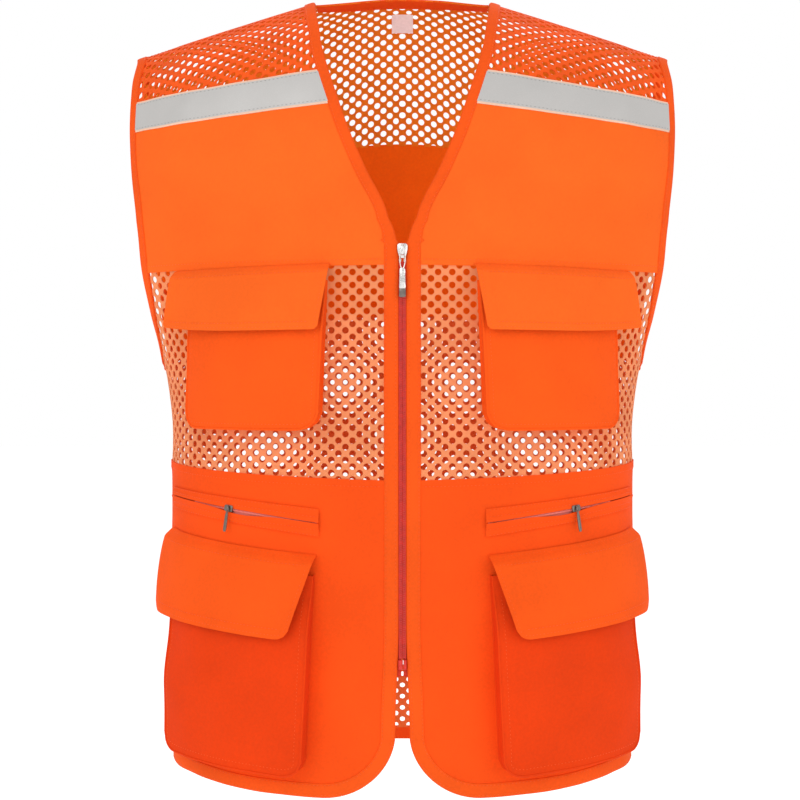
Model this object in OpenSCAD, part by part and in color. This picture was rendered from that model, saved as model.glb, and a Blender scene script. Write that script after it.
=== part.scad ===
// High visibility vest with mesh panels, six pockets and a front zip.
// +Z is up, the front faces -Y and the wearer's left is +X.
// The origin lies midway between the two neck points of the shoulder seams.

/* [Torso] */
// Lowest point of the front hem below the neck points
front_drop = 687; // [680:1:694]
// Hem of the back below the neck points
back_drop = 684; // [680:1:686]
// Distance from the side seams forward to the zip
front_depth = 122; // [118:1:126]
// Half the neck opening at the shoulder seams
neck_half = 78; // [76:1:80]
// Depth of the armholes' lowest points below the neck points
armpit_drop = 330; // [326:1:334]

/* [Cloth] */
// Thickness of the cloth and mesh
cloth_t = 1; // [0.8:0.1:1.1]
// Width of the bias bindings
binding_w = 9; // [8:0.5:10]
// Width of the stitched placket beside the zip
placket_w = 12; // [11:0.5:13]

/* [Pockets] */
// Depth of the pocket gussets at the inner side
pocket_deep = 20; // [18:0.5:21]
// Depth of the chest pocket gussets at the outer side
chest_shallow = 13; // [12:0.5:14]
// Depth of the cargo pocket gussets at the outer side
cargo_shallow = 10; // [9:0.5:11]
// Radius of the lower pocket corners
pocket_corner = 14; // [12:1:16]

/* [Main zip] */
// Top of the chain
zip_top = -234; // [-236:1:-232]
// Bottom of the chain
zip_bottom = -570; // [-572:1:-566]
// Width of the slider over its shoulders
slider_w = 8.6; // [8.2:0.1:9]
// Length of the slider
slider_l = 12; // [11:0.5:13]
// Length of the pull tab
pull_l = 24; // [22:1:27]

/* [Hidden] */

// Half width of the torso, then depth of its back, every PROFILE_STEP down from the neck points.
PROFILE_STEP = 60;
HALF_WIDTHS = [254, 254, 254, 254, 245, 219, 207, 205.5, 205.5, 206, 206, 204, 202];
BACK_DEPTHS = [106, 106, 106, 106, 102, 96, 90, 88, 91, 97, 104, 109, 112];
// Half widths between the neck edges every NECK_STEP, and between the arm edges every ARM_STEP.
NECK_STEP = 20;
NECK_HALVES = [neck_half, neck_half, 77, 75, 72, 69, 63, 55, 45, 31, 12, 5];
ARM_STEP = 40;
ARM_HALVES = [238, 236, 238, 238, 237, 231, 227, 220, 212.5];
CHEST_Z = -200;
RIDGE_TOP = 27;
RIDGE_SLOPE = 0.33;
RIDGE_ROUND = 40;
LATERAL_POWER = 2.4;
FRONT_POWER = 2.3;
BACK_POWER = 3;
NECK_DIP = 30;
STEP_ANGLE = 0.5;
RIDGE_GAP = 0.05;
SEAM_GAP = 0.4;
PLACKET_HALF = 3.5;
ORANGE = [1, 0.42, 0.12];
DEEP_ORANGE = [0.95, 0.3, 0.08];
SILVER = [0.78, 0.78, 0.76];
RED = [0.86, 0.25, 0.2];
NICKEL = [0.8, 0.8, 0.8];
BRONZE = [0.35, 0.3, 0.26];
FRONT = -1;
BACK = 1;

// ---- Numbers ----
function mix(a, b, t) = a + (b - a) * t;
function clamp01(t) = min(max(t, 0), 1);
function ease(t) = let (c = clamp01(t)) c * c * (3 - 2 * c);
function signed_power(v, p) = sign(v) * pow(abs(v), p);
function smooth_at(v, s) =
    let (
        last = len(v) - 1,
        k = min(max(s, 0), last - 0.001),
        i = floor(k),
        f = k - i,
        a = v[max(i - 1, 0)],
        b = v[i],
        c = v[min(i + 1, last)],
        d = v[min(i + 2, last)]
    )
    b + f / 2 * ((c - a) + f * ((2 * a - 5 * b + 4 * c - d) + f * (3 * b - a - 3 * c + d)));

// ---- Torso surface: angle a runs from the zip to the side seam, h runs down from the shoulder seam ----
function half_width(h) = smooth_at(HALF_WIDTHS, -h / PROFILE_STEP);
function ridge(x) = RIDGE_TOP - RIDGE_SLOPE * sqrt(x * x + RIDGE_ROUND * RIDGE_ROUND);
function torso(side, a, h) =
    let (
        power = side == FRONT ? FRONT_POWER : BACK_POWER,
        q = h < CHEST_Z ? 0 : 90 * (1 - h / CHEST_Z),
        x = half_width(h) * signed_power(sin(a), 2 / LATERAL_POWER),
        z = h < CHEST_Z ? h : CHEST_Z + pow(abs(sin(q)), 2 / power) * (ridge(x) - CHEST_Z),
        depth = side == FRONT ? front_depth : smooth_at(BACK_DEPTHS, -z / PROFILE_STEP)
    )
    [x, side * depth * signed_power(cos(a), 2 / LATERAL_POWER) * signed_power(cos(q), 2 / power), z];
function outward(side, a, h) =
    let (
        across = torso(side, a + STEP_ANGLE, h) - torso(side, a - STEP_ANGLE, h),
        up = torso(side, a, h + STEP_ANGLE) - torso(side, a, h - STEP_ANGLE),
        n = cross(across, up)
    )
    -side * n / norm(n);
function at(side, a, h, off) = torso(side, a, h) + off * outward(side, a, h);
function angle_of(x, h) = asin(signed_power(min(max(x / half_width(h), -1), 1), LATERAL_POWER / 2));

// ---- Edges of the panels ----
function neck_x(h) = smooth_at(NECK_HALVES, -h / NECK_STEP);
function arm_x(h) = smooth_at(ARM_HALVES, -h / ARM_STEP);
function side_x(h) = h > -armpit_drop ? arm_x(h) : half_width(h);
function opening_x(h) = h > -220 ? neck_x(h) : PLACKET_HALF + 3 * ease((-h - 540) / 100);
function back_neck_h(x) = -NECK_DIP * max(1 - pow(x / neck_half, 2), 0) - RIDGE_GAP;
function tape_top(s) = mix(-119, -107, s);
function tape_bottom(s) = mix(-143.5, -137, s);
function chest_seam(s) = mix(-238, -244, s);
function waist_seam(s) = mix(-421.5, -409.5, s);
// The front hem: a quarter ellipse at the zip corner, then a gentle rise to the side seam.
HEM_HALF = 204;
HEM_LOW_X = 67;
HEM_CORNER = 56;
HEM_RISE = 14;
function hem(s) =
    let (x = max(HEM_HALF * signed_power(sin(90 * s), 2 / LATERAL_POWER), 6.5))
    x < HEM_LOW_X
        ? -front_drop + HEM_CORNER * (1 - sqrt(1 - pow((HEM_LOW_X - x) / (HEM_LOW_X - 6), 2)))
        : -front_drop + HEM_RISE * pow((x - HEM_LOW_X) / (HEM_HALF - HEM_LOW_X), 2);

// ---- Solids from a grid of points: f(s, v, k) with k = 0 the inner skin and 1 the outer ----
function grid_points(f, nx, nh) = [for (k = [0, 1]) for (j = [0:nh]) for (i = [0:nx]) f(i / nx, j / nh, k)];
function quad(a, b, c, d) = [[a, b, c], [a, c, d]];
function grid_faces(nx, nh) =
    let (p = function (k, j, i) (k * (nh + 1) + j) * (nx + 1) + i)
    [
        for (j = [0:nh - 1]) for (i = [0:nx - 1])
            each quad(p(1, j, i), p(1, j, i + 1), p(1, j + 1, i + 1), p(1, j + 1, i)),
        for (j = [0:nh - 1]) for (i = [0:nx - 1])
            each quad(p(0, j, i), p(0, j + 1, i), p(0, j + 1, i + 1), p(0, j, i + 1)),
        for (i = [0:nx - 1]) each quad(p(1, 0, i + 1), p(1, 0, i), p(0, 0, i), p(0, 0, i + 1)),
        for (i = [0:nx - 1]) each quad(p(1, nh, i), p(1, nh, i + 1), p(0, nh, i + 1), p(0, nh, i)),
        for (j = [0:nh - 1]) each quad(p(1, j, 0), p(1, j + 1, 0), p(0, j + 1, 0), p(0, j, 0)),
        for (j = [0:nh - 1]) each quad(p(1, j + 1, nx), p(1, j, nx), p(0, j, nx), p(0, j + 1, nx)),
    ];
function six_volumes(p, faces, i = 0) =
    i == len(faces)
        ? 0
        : p[faces[i][0]] * cross(p[faces[i][1]], p[faces[i][2]]) + six_volumes(p, faces, i + 1);
function reversed(faces) = [for (f = faces) [f[2], f[1], f[0]]];
module shell(f, nx, nh) {
    points = grid_points(f, nx, nh);
    faces = grid_faces(nx, nh);
    polyhedron(points, six_volumes(points, faces) > 0 ? reversed(faces) : faces);
}

// A piece of cloth between four edges; low(s, v) is how far its inner skin stands off the torso.
function patch(side, top, bottom, inner, outer, low, thick) =
    function (s, v, k)
        let (
            h = mix(top(s), bottom(s), v),
            a = mix(angle_of(inner(h), h), angle_of(outer(h), h), s)
        )
        at(side, a, h, low(s, v) + k * thick);
function flat(off) = function (s, v) off;
function fixed(x) = function (t) x;
module left() { children(); }
module right() { mirror([1, 0, 0]) children(); }

PANEL_LOW = -cloth_t / 2;
OVER_LOW = cloth_t / 2 + SEAM_GAP;
// Both sides stop a hair short of the side seam's line.
SHORT_OF_SEAM = 0.99998;
seam_side = function (h) min(side_x(h), half_width(h) * SHORT_OF_SEAM);
// The x that lies w inside the armhole's edge, measured round the body.
function inside_arm(side, h, w) =
    let (
        edge = angle_of(seam_side(h), h),
        per_degree = norm(torso(side, edge, h) - torso(side, edge - 1, h))
    )
    half_width(h) * signed_power(sin(edge - w / per_degree), 2 / LATERAL_POWER);

// ---- Back ----
BACK_COLUMNS = 24;
module back_sheet(top, bottom, low, thick, nh) {
    other_side = function (h) -seam_side(h);
    shell(patch(BACK, top, bottom, other_side, seam_side, low, thick), BACK_COLUMNS, nh);
}
function back_x(s) =
    let (reach = angle_of(arm_x(0), 0))
    half_width(0) * signed_power(sin(mix(-reach, reach, s)), 2 / LATERAL_POWER);
function back_band_top(s) = -170 - 6 * pow(2 * s - 1, 2);
function back_band_bottom(s) = -281 - 54 * pow(abs(2 * s - 1), 1.8);
module back_yoke_mesh() {
    top = function (s) back_neck_h(back_x(s));
    color(ORANGE) back_sheet(top, function (s) back_band_top(s) + SEAM_GAP, flat(PANEL_LOW), cloth_t, 10);
}
module back_band_panel() {
    top = function (s) back_band_top(s);
    color(DEEP_ORANGE) back_sheet(top, function (s) back_band_bottom(s), flat(PANEL_LOW), cloth_t, 8);
}
HEM_BAND = 12;
HEM_BAND_SWELL = 0.3;
BACK_HEM_RISE = 12;
function back_hem(s) = -back_drop + BACK_HEM_RISE * pow(2 * s - 1, 4);
module back_lower_mesh() {
    top = function (s) back_band_bottom(s) - SEAM_GAP;
    color(ORANGE) back_sheet(top, function (s) back_hem(s) + HEM_BAND, flat(PANEL_LOW), cloth_t, 13);
}
module back_hem_band() {
    top = function (s) back_hem(s) + HEM_BAND - SEAM_GAP;
    low = flat(PANEL_LOW - HEM_BAND_SWELL);
    color(DEEP_ORANGE) back_sheet(top, function (s) back_hem(s), low, cloth_t + 2 * HEM_BAND_SWELL, 1);
}
module back_neck_binding() {
    along = function (s, v, k)
        let (x = mix(-neck_half + 1, neck_half - 1, s), h = back_neck_h(x) - binding_w * v)
        at(BACK, angle_of(x, h), h, mix(OVER_LOW, OVER_LOW + cloth_t, k));
    color(DEEP_ORANGE) shell(along, 22, 1);
}
BACK_TAPE_TOP = -178;
BACK_TAPE_BOTTOM = -208;
module back_reflective_tape() {
    reach = function (h) inside_arm(BACK, h, binding_w + SEAM_GAP);
    tape = patch(BACK, fixed(BACK_TAPE_TOP), fixed(BACK_TAPE_BOTTOM), function (h) -reach(h), reach,
                 flat(OVER_LOW), TAPE_T);
    color(SILVER) shell(tape, BACK_COLUMNS, 2);
}
module neck_label() {
    color("white")
        shell(patch(BACK, fixed(-56), fixed(-80), fixed(-10), fixed(10), flat(-3), TAPE_T), 4, 2);
}
// Keeps the binding off the flat facets of the panels under it.
BACK_BINDING_LIFT = 0.35;
module back_armhole_binding() {
    inner = function (h) inside_arm(BACK, h, binding_w);
    tape = patch(BACK, fixed(-1), fixed(-armpit_drop), inner, seam_side,
                 flat(OVER_LOW + BACK_BINDING_LIFT), cloth_t);
    color(DEEP_ORANGE) shell(tape, 1, 22);
}

// ---- Fronts ----
FRONT_COLUMNS = 14;
zip_side = function (h) opening_x(h);
module front_sheet(top, bottom, nh) {
    shell(patch(FRONT, top, bottom, zip_side, seam_side, flat(PANEL_LOW), cloth_t), FRONT_COLUMNS, nh);
}
// The yoke and the chest panel meet under the reflective tape.
YOKE_UNDER = 8;
TAPE_T = 0.6;
module yoke_mesh() {
    color(ORANGE) front_sheet(fixed(-RIDGE_GAP), function (s) tape_top(s) - YOKE_UNDER, 8);
}
module reflective_tape() {
    inner = function (h) opening_x(h) + binding_w + SEAM_GAP;
    outer = function (h) inside_arm(FRONT, h, binding_w + SEAM_GAP);
    tape = patch(FRONT, function (s) tape_top(s), function (s) tape_bottom(s), inner, outer,
                 flat(OVER_LOW), TAPE_T);
    color(SILVER) shell(tape, FRONT_COLUMNS, 2);
}
module chest_panel() {
    color(ORANGE)
        front_sheet(function (s) tape_top(s) - YOKE_UNDER - 1, function (s) chest_seam(s) + SEAM_GAP, 8);
}
module front_mesh() {
    color(ORANGE) front_sheet(function (s) chest_seam(s), function (s) waist_seam(s) + SEAM_GAP, 10);
}
module lower_panel() {
    color(DEEP_ORANGE) front_sheet(function (s) waist_seam(s), function (s) hem(s), 10);
}
module front_binding() {
    along = function (s, v, k)
        let (
            h = mix(-1, hem(0) + 3, v),
            w = mix(binding_w, placket_w, ease((-h - 200) / 30)),
            x = opening_x(h) - 0.2 + w * s
        )
        at(FRONT, angle_of(x, h), h, mix(OVER_LOW, OVER_LOW + cloth_t, k));
    color(ORANGE) shell(along, 1, 44);
}
module armhole_binding() {
    inner = function (h) inside_arm(FRONT, h, binding_w);
    color(ORANGE)
        shell(patch(FRONT, fixed(-2), fixed(-armpit_drop), inner, seam_side, flat(OVER_LOW), cloth_t), 1, 22);
}

// ---- Main zip ----
COIL_GAP = 0.9;
COIL_W = 2.2;
COIL_T = 2.4;
ZIP_TAPE_T = 0.6;
TAPE_TAIL = 15;
module zip_tape() {
    color(RED)
        translate([COIL_GAP, -front_depth + COIL_T / 2, zip_bottom - TAPE_TAIL])
            cube([placket_w, ZIP_TAPE_T, zip_top - zip_bottom + TAPE_TAIL]);
}
module zip_coil() {
    top_stop_h = 3;
    color(RED)
        translate([COIL_GAP, -front_depth - COIL_T / 2, zip_bottom])
            cube([COIL_W, COIL_T, zip_top - zip_bottom - top_stop_h]);
    color(NICKEL)
        translate([COIL_GAP, -front_depth - COIL_T / 2, zip_top - top_stop_h])
            cube([COIL_W, COIL_T, top_stop_h]);
}
// The box holds the right tape's end and takes the left tape's pin.
BOX_H = 9;
BOX_HALF = 3.6;
BOX_FRONT = 2.4;
BOX_T = 3.4;
module zip_retainer_box() {
    color(RED)
        translate([-BOX_HALF, -front_depth - BOX_FRONT, zip_bottom - BOX_H])
            cube([BOX_HALF + SEAM_GAP, BOX_T, BOX_H - SEAM_GAP]);
}
module zip_insertion_pin() {
    color(RED)
        translate([COIL_GAP, -front_depth - BOX_FRONT, zip_bottom - BOX_H])
            cube([BOX_HALF - COIL_GAP, BOX_T, BOX_H - SEAM_GAP]);
}
PLATE_T = 1.1;
FRONT_GAP = 1.1;
REAR_GAP = 0.5;
PLATE_ROUND = 1.2;
NOSE_HALF = 2.2;
SLIDER_LOW = zip_top + 0.5;
NECK_H = 3.6;
PULL_HOLE_Z = slider_l - 4;
FRONT_PLATE_Y = -front_depth - COIL_T / 2 - FRONT_GAP - PLATE_T;
REAR_PLATE_Y = -front_depth + COIL_T / 2 + ZIP_TAPE_T + REAR_GAP;
BAIL_Y = FRONT_PLATE_Y - 1.9;
BAIL_R = 0.6;
EAR_X = 0.8;
EAR_T = 0.8;
// A shield shape, wide at the shoulders and narrow at the nose.
module slider_plate() {
    shoulder_x = slider_w / 2 - PLATE_ROUND;
    hull() {
        for (x = [-shoulder_x, shoulder_x])
            translate([x, 0, slider_l - 2])
                rotate([-90, 0, 0]) cylinder(r = PLATE_ROUND, h = PLATE_T, $fn = 20);
        for (x = [-NOSE_HALF, NOSE_HALF])
            translate([x, 0, 1]) rotate([-90, 0, 0]) cylinder(r = 1, h = PLATE_T, $fn = 20);
    }
}
module zip_slider() {
    color(NICKEL) translate([0, 0, SLIDER_LOW]) {
        translate([0, FRONT_PLATE_Y, 0]) slider_plate();
        translate([0, REAR_PLATE_Y, 0]) slider_plate();
        translate([-0.5, FRONT_PLATE_Y + 0.2, slider_l - NECK_H - 0.4])
            cube([1, REAR_PLATE_Y - FRONT_PLATE_Y + 0.4, NECK_H]);
        for (x = [-EAR_X - EAR_T, EAR_X])
            translate([x, BAIL_Y - 1.2, PULL_HOLE_Z - 1.5]) cube([EAR_T, 3.2, 3]);
        translate([-EAR_X - EAR_T, BAIL_Y, PULL_HOLE_Z])
            rotate([0, 90, 0]) cylinder(r = BAIL_R, h = 2 * (EAR_X + EAR_T), $fn = 24);
    }
}
PULL_W = 5.8;
PULL_T = 1.2;
PULL_STEM = 17;
EYE_R = 1.4;
EYE_HALF = 0.7;
PULL_CLEARANCE = 0.06;
module zip_pull_tab() {
    color(NICKEL) translate([0, BAIL_Y, SLIDER_LOW + PULL_HOLE_Z]) {
        difference() {
            union() {
                rotate([0, 90, 0])
                    translate([0, 0, -EYE_HALF]) cylinder(r = EYE_R, h = 2 * EYE_HALF, $fn = 32);
                translate([-EYE_HALF, -PULL_T / 2, -PULL_STEM]) cube([2 * EYE_HALF, PULL_T, PULL_STEM - 0.8]);
            }
            rotate([0, 90, 0]) translate([0, 0, -1]) cylinder(r = BAIL_R + PULL_CLEARANCE, h = 2, $fn = 32);
        }
        translate([-PULL_W / 2, -PULL_T / 2, -pull_l - PULL_STEM]) cube([PULL_W, PULL_T, pull_l]);
    }
}

// ---- Boxed pockets: each is a spec of functions that its face, gusset, flap and fasteners share ----
POCKET_MOUTH = 8;
function rounded_bottom(low, width, s) =
    let (r = pocket_corner / width, c = s < r ? 1 - s / r : s > 1 - r ? 1 - (1 - s) / r : 0)
    low + pocket_corner * (1 - sqrt(1 - c * c));
chest_top = fixed(-252);
chest_bottom = function (s) rounded_bottom(-377, 110, s);
chest_inner = function (h) mix(64, 69, (-h - 252) / 125);
chest_outer = function (h) mix(174, 177, (-h - 252) / 125);
chest_depth = function (s, v) mix(POCKET_MOUTH, mix(pocket_deep, chest_shallow, s), ease(v * 2.5));
cargo_top = function (s) mix(-500, -484, s);
cargo_bottom = function (s) rounded_bottom(mix(-668, -655, s), 125, s);
cargo_inner = function (h) mix(74, 82, (-h - 497) / 170);
cargo_outer = function (h) 191;
// The lower outer corner of the cargo pocket sags away from the front.
CARGO_SLACK = 6;
cargo_depth = function (s, v)
    mix(POCKET_MOUTH, mix(pocket_deep, cargo_shallow, s), ease(v * 2.8))
    + CARGO_SLACK * ease((v - 0.25) / 0.5) * s * s;
function pocket_patch(top, bottom, inner, outer, depth, extra, thick) =
    patch(FRONT, top, bottom, inner, outer, function (s, v) depth(s, v) + extra, thick);
module pocket_face(top, bottom, inner, outer, depth) {
    shell(pocket_patch(top, bottom, inner, outer, depth, 0, cloth_t), 16, 8);
}
FACE_GAP = 0.3;
// The gusset follows the face's outline: down the inner side, along the bottom and up the outer side.
function rim(u) = u < 1 ? [0, u] : u < 2 ? [u - 1, 1] : [1, 3 - u];
module pocket_gusset(top, bottom, inner, outer, depth) {
    f = patch(FRONT, top, bottom, inner, outer, flat(0), 1);
    middle = f(0.5, 0.5, 0);
    wall = function (s, v, k)
        let (
            st = rim(3 * s),
            foot = f(st[0], st[1], 0),
            up = f(st[0], st[1], 1) - foot,
            towards = middle - foot,
            level = towards - (towards * up) * up
        )
        foot
            + (1 - k) * cloth_t * level / norm(level)
            + up * mix(OVER_LOW, depth(st[0], st[1]) - FACE_GAP, v);
    shell(wall, 48, 2);
}
module chest_pocket_face() {
    color(DEEP_ORANGE) pocket_face(chest_top, chest_bottom, chest_inner, chest_outer, chest_depth);
}
module chest_pocket_gusset() {
    color(DEEP_ORANGE) pocket_gusset(chest_top, chest_bottom, chest_inner, chest_outer, chest_depth);
}
module cargo_pocket_face() {
    color(DEEP_ORANGE) pocket_face(cargo_top, cargo_bottom, cargo_inner, cargo_outer, cargo_depth);
}
module cargo_pocket_gusset() {
    color(DEEP_ORANGE) pocket_gusset(cargo_top, cargo_bottom, cargo_inner, cargo_outer, cargo_depth);
}

// ---- Flaps: sewn along the top and standing off over the pocket ----
FLAP_ROOT = 2.4;
FLAP_OVER = 4;
FLAP_RISE = 0.55;
flap_lift = function (shallow, ends)
    function (s, v)
        let (over = (mix(pocket_deep, shallow, s) + FLAP_OVER) * pow(v, FLAP_RISE))
        FLAP_ROOT + over + ends * pow(2 * s - 1, 2) * (1 - v);
chest_flap_top = function (s) mix(-239, -245, s);
chest_flap_bottom = function (s) mix(-293, -287, pow(s, 3));
chest_flap_inner = function (h) mix(61, 68, (-h - 239) / 53);
chest_flap_outer = function (h) mix(194, 192, (-h - 239) / 53);
cargo_flap_top = function (s) mix(-483, -467, s);
cargo_flap_bottom = function (s) mix(-552, -538, s);
cargo_flap_inner = function (h) mix(72, 92, (-h - 483) / 69);
cargo_flap_outer = function (h) 199;
CHEST_ENDS = 2;
CARGO_ENDS = 5;
module flap(top, bottom, inner, outer, lift) {
    shell(patch(FRONT, top, bottom, inner, outer, lift, cloth_t), 14, 6);
}
module chest_flap() {
    color(ORANGE)
        flap(chest_flap_top, chest_flap_bottom, chest_flap_inner, chest_flap_outer,
             flap_lift(chest_shallow, CHEST_ENDS));
}
module cargo_flap() {
    color(DEEP_ORANGE)
        flap(cargo_flap_top, cargo_flap_bottom, cargo_flap_inner, cargo_flap_outer,
             flap_lift(cargo_shallow, CARGO_ENDS));
}
// Patches of hook and loop fastening, cut from the middle of the flap's and face's own grids.
function part_of(f, s0, s1, v0, v1) = function (s, v, k) f(mix(s0, s1, s), mix(v0, v1, v), k);
PATCH_T = 0.7;
module chest_hooks() {
    lift = flap_lift(chest_shallow, CHEST_ENDS);
    under = function (s, v) lift(s, v) - PATCH_T - FACE_GAP;
    whole = patch(FRONT, chest_flap_top, chest_flap_bottom, chest_flap_inner, chest_flap_outer,
                  under, PATCH_T);
    color(DEEP_ORANGE) shell(part_of(whole, 0.3, 0.66, 0.6, 0.9), 6, 2);
}
module cargo_hooks() {
    lift = flap_lift(cargo_shallow, CARGO_ENDS);
    under = function (s, v) lift(s, v) - PATCH_T - FACE_GAP;
    whole = patch(FRONT, cargo_flap_top, cargo_flap_bottom, cargo_flap_inner, cargo_flap_outer,
                  under, PATCH_T);
    color(DEEP_ORANGE) shell(part_of(whole, 0.3, 0.66, 0.55, 0.85), 6, 2);
}
module pocket_loops() {
    over = cloth_t + FACE_GAP;
    chest = pocket_patch(chest_top, chest_bottom, chest_inner, chest_outer, chest_depth, over, PATCH_T);
    cargo = pocket_patch(cargo_top, cargo_bottom, cargo_inner, cargo_outer, cargo_depth, over, PATCH_T);
    color(DEEP_ORANGE) {
        shell(part_of(chest, 0.3, 0.7, 0.1, 0.24), 6, 2);
        shell(part_of(cargo, 0.3, 0.7, 0.1, 0.24), 6, 2);
    }
}

// ---- Slanted zip pocket: the chain is an arc about a tilted axis ----
SLANT_Z = -447;
SLANT_MID_X = 137;
SLANT_TILT = 8;
SLANT_CENTRE = [58.5, 70];
SLANT_R = 190.5;
SLANT_FROM = -84;
SLANT_TO = -50;
SLANT_REST = -62;
function slant_h(x) = SLANT_Z + tan(SLANT_TILT) * (x - SLANT_MID_X);
SLOT_HALF = 3.6;
WELT_W = 8;
module slant_welt() {
    from = angle_of(70, SLANT_Z);
    to = angle_of(199, SLANT_Z);
    line = function (s) slant_h(half_width(SLANT_Z) * signed_power(sin(mix(from, to, s)), 2 / LATERAL_POWER));
    upper = patch(FRONT, function (s) line(s) + 12 - 5 * s, function (s) line(s) + SLOT_HALF,
                  fixed(70), fixed(199), flat(OVER_LOW), cloth_t);
    lower = patch(FRONT, function (s) line(s) - SLOT_HALF, function (s) line(s) - SLOT_HALF - WELT_W,
                  fixed(70), fixed(199), flat(OVER_LOW), cloth_t);
    color(DEEP_ORANGE) {
        shell(upper, 12, 1);
        shell(lower, 12, 1);
    }
}
module slant_bag() {
    color(ORANGE)
        shell(patch(FRONT, fixed(-438), fixed(-560), fixed(82), fixed(186), flat(PANEL_LOW - 3.1), 2), 10, 8);
}
module slant_frame() {
    translate([SLANT_CENTRE[0], SLANT_CENTRE[1], slant_h(SLANT_CENTRE[0])])
        rotate([0, -SLANT_TILT, 0]) children();
}
module arc_bar(r0, r1, z0, z1, from, to) {
    rotate([0, 0, from])
        rotate_extrude(angle = to - from, $fn = 180) translate([r0, z0]) square([r1 - r0, z1 - z0]);
}
module slant_coil() {
    color(RED) slant_frame() arc_bar(SLANT_R - 0.7, SLANT_R + 0.7, -1.6, 1.6, SLANT_FROM, SLANT_TO);
}
SLANT_SLIDER_L = 8;
module slant_slider() {
    half = 90 * SLANT_SLIDER_L / (PI * SLANT_R);
    color(BRONZE) slant_frame() {
        arc_bar(SLANT_R + 1.1, SLANT_R + 2, -2.7, 2.7, SLANT_REST - half, SLANT_REST + half);
        arc_bar(SLANT_R - 1.9, SLANT_R - 1.1, -2.7, 2.7, SLANT_REST - half, SLANT_REST + half);
        for (z = [-2.7, 2])
            arc_bar(SLANT_R - 1.5, SLANT_R + 1.5, z, z + 0.7, SLANT_REST - half, SLANT_REST + half);
        rotate([0, 0, SLANT_REST]) translate([SLANT_R + 1.8, 0, 0]) {
            for (y = [-1.6, 0.8]) translate([0, y, -1]) cube([2.2, 0.8, 2]);
            translate([1.4, -1.6, 0]) rotate([-90, 0, 0]) cylinder(r = 0.45, h = 3.2, $fn = 24);
        }
    }
}
SLANT_PULL_L = 20;
module slant_pull() {
    color(BRONZE) slant_frame() rotate([0, 0, SLANT_REST]) translate([SLANT_R + 3.2, 0, 0]) {
        difference() {
            rotate([-90, 0, 0]) translate([0, 0, -0.6]) cylinder(r = 1.1, h = 1.2, $fn = 32);
            rotate([-90, 0, 0]) translate([0, 0, -1]) cylinder(r = 0.5, h = 2, $fn = 32);
        }
        translate([-0.5, -0.6, -3]) cube([1, 1.2, 2.2]);
        translate([-0.5, -1.4, -SLANT_PULL_L]) cube([1, 2.8, SLANT_PULL_L - 2.8]);
    }
}

back_yoke_mesh();
back_band_panel();
back_lower_mesh();
back_hem_band();
back_neck_binding();
back_reflective_tape();
neck_label();
left() back_armhole_binding();  // left_back_armhole_binding
right() back_armhole_binding();  // right_back_armhole_binding
left() yoke_mesh();  // left_yoke_mesh
right() yoke_mesh();  // right_yoke_mesh
left() reflective_tape();  // left_reflective_tape
right() reflective_tape();  // right_reflective_tape
left() chest_panel();  // left_chest_panel
right() chest_panel();  // right_chest_panel
left() front_mesh();  // left_front_mesh
right() front_mesh();  // right_front_mesh
left() lower_panel();  // left_lower_panel
right() lower_panel();  // right_lower_panel
left() front_binding();  // left_front_binding
right() front_binding();  // right_front_binding
left() armhole_binding();  // left_armhole_binding
right() armhole_binding();  // right_armhole_binding
left() zip_tape();  // left_zip_tape
right() zip_tape();  // right_zip_tape
left() zip_coil();  // left_zip_coil
right() zip_coil();  // right_zip_coil
zip_insertion_pin();
zip_retainer_box();
zip_slider();
zip_pull_tab();
left() chest_pocket_face();  // left_chest_pocket_face
right() chest_pocket_face();  // right_chest_pocket_face
left() chest_pocket_gusset();  // left_chest_pocket_gusset
right() chest_pocket_gusset();  // right_chest_pocket_gusset
left() chest_flap();  // left_chest_flap
right() chest_flap();  // right_chest_flap
left() cargo_pocket_face();  // left_cargo_pocket_face
right() cargo_pocket_face();  // right_cargo_pocket_face
left() cargo_pocket_gusset();  // left_cargo_pocket_gusset
right() cargo_pocket_gusset();  // right_cargo_pocket_gusset
left() cargo_flap();  // left_cargo_flap
right() cargo_flap();  // right_cargo_flap
left() slant_welt();  // left_slant_pocket_welt
right() slant_welt();  // right_slant_pocket_welt
left() slant_bag();  // left_slant_pocket_bag
right() slant_bag();  // right_slant_pocket_bag
left() slant_coil();  // left_slant_zip_coil
right() slant_coil();  // right_slant_zip_coil
left() slant_slider();  // left_slant_zip_slider
right() slant_slider();  // right_slant_zip_slider
left() slant_pull();  // left_slant_zip_pull
right() slant_pull();  // right_slant_zip_pull
left() chest_hooks();  // left_flap_hooks_chest
right() chest_hooks();  // right_flap_hooks_chest
left() cargo_hooks();  // left_flap_hooks_cargo
right() cargo_hooks();  // right_flap_hooks_cargo
left() pocket_loops();  // left_pocket_loops
right() pocket_loops();  // right_pocket_loops
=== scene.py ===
"""A high visibility vest: mesh yokes and sides, twill panels, box pockets and a red front zip.

All shapes are worked out in millimetres on one torso surface, in the frame of the CAD model, and
scaled to metres when a mesh is made. The wearer's left is +X and the front faces -Y. Right-hand
pieces are the left ones mirrored.
"""
import math

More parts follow.
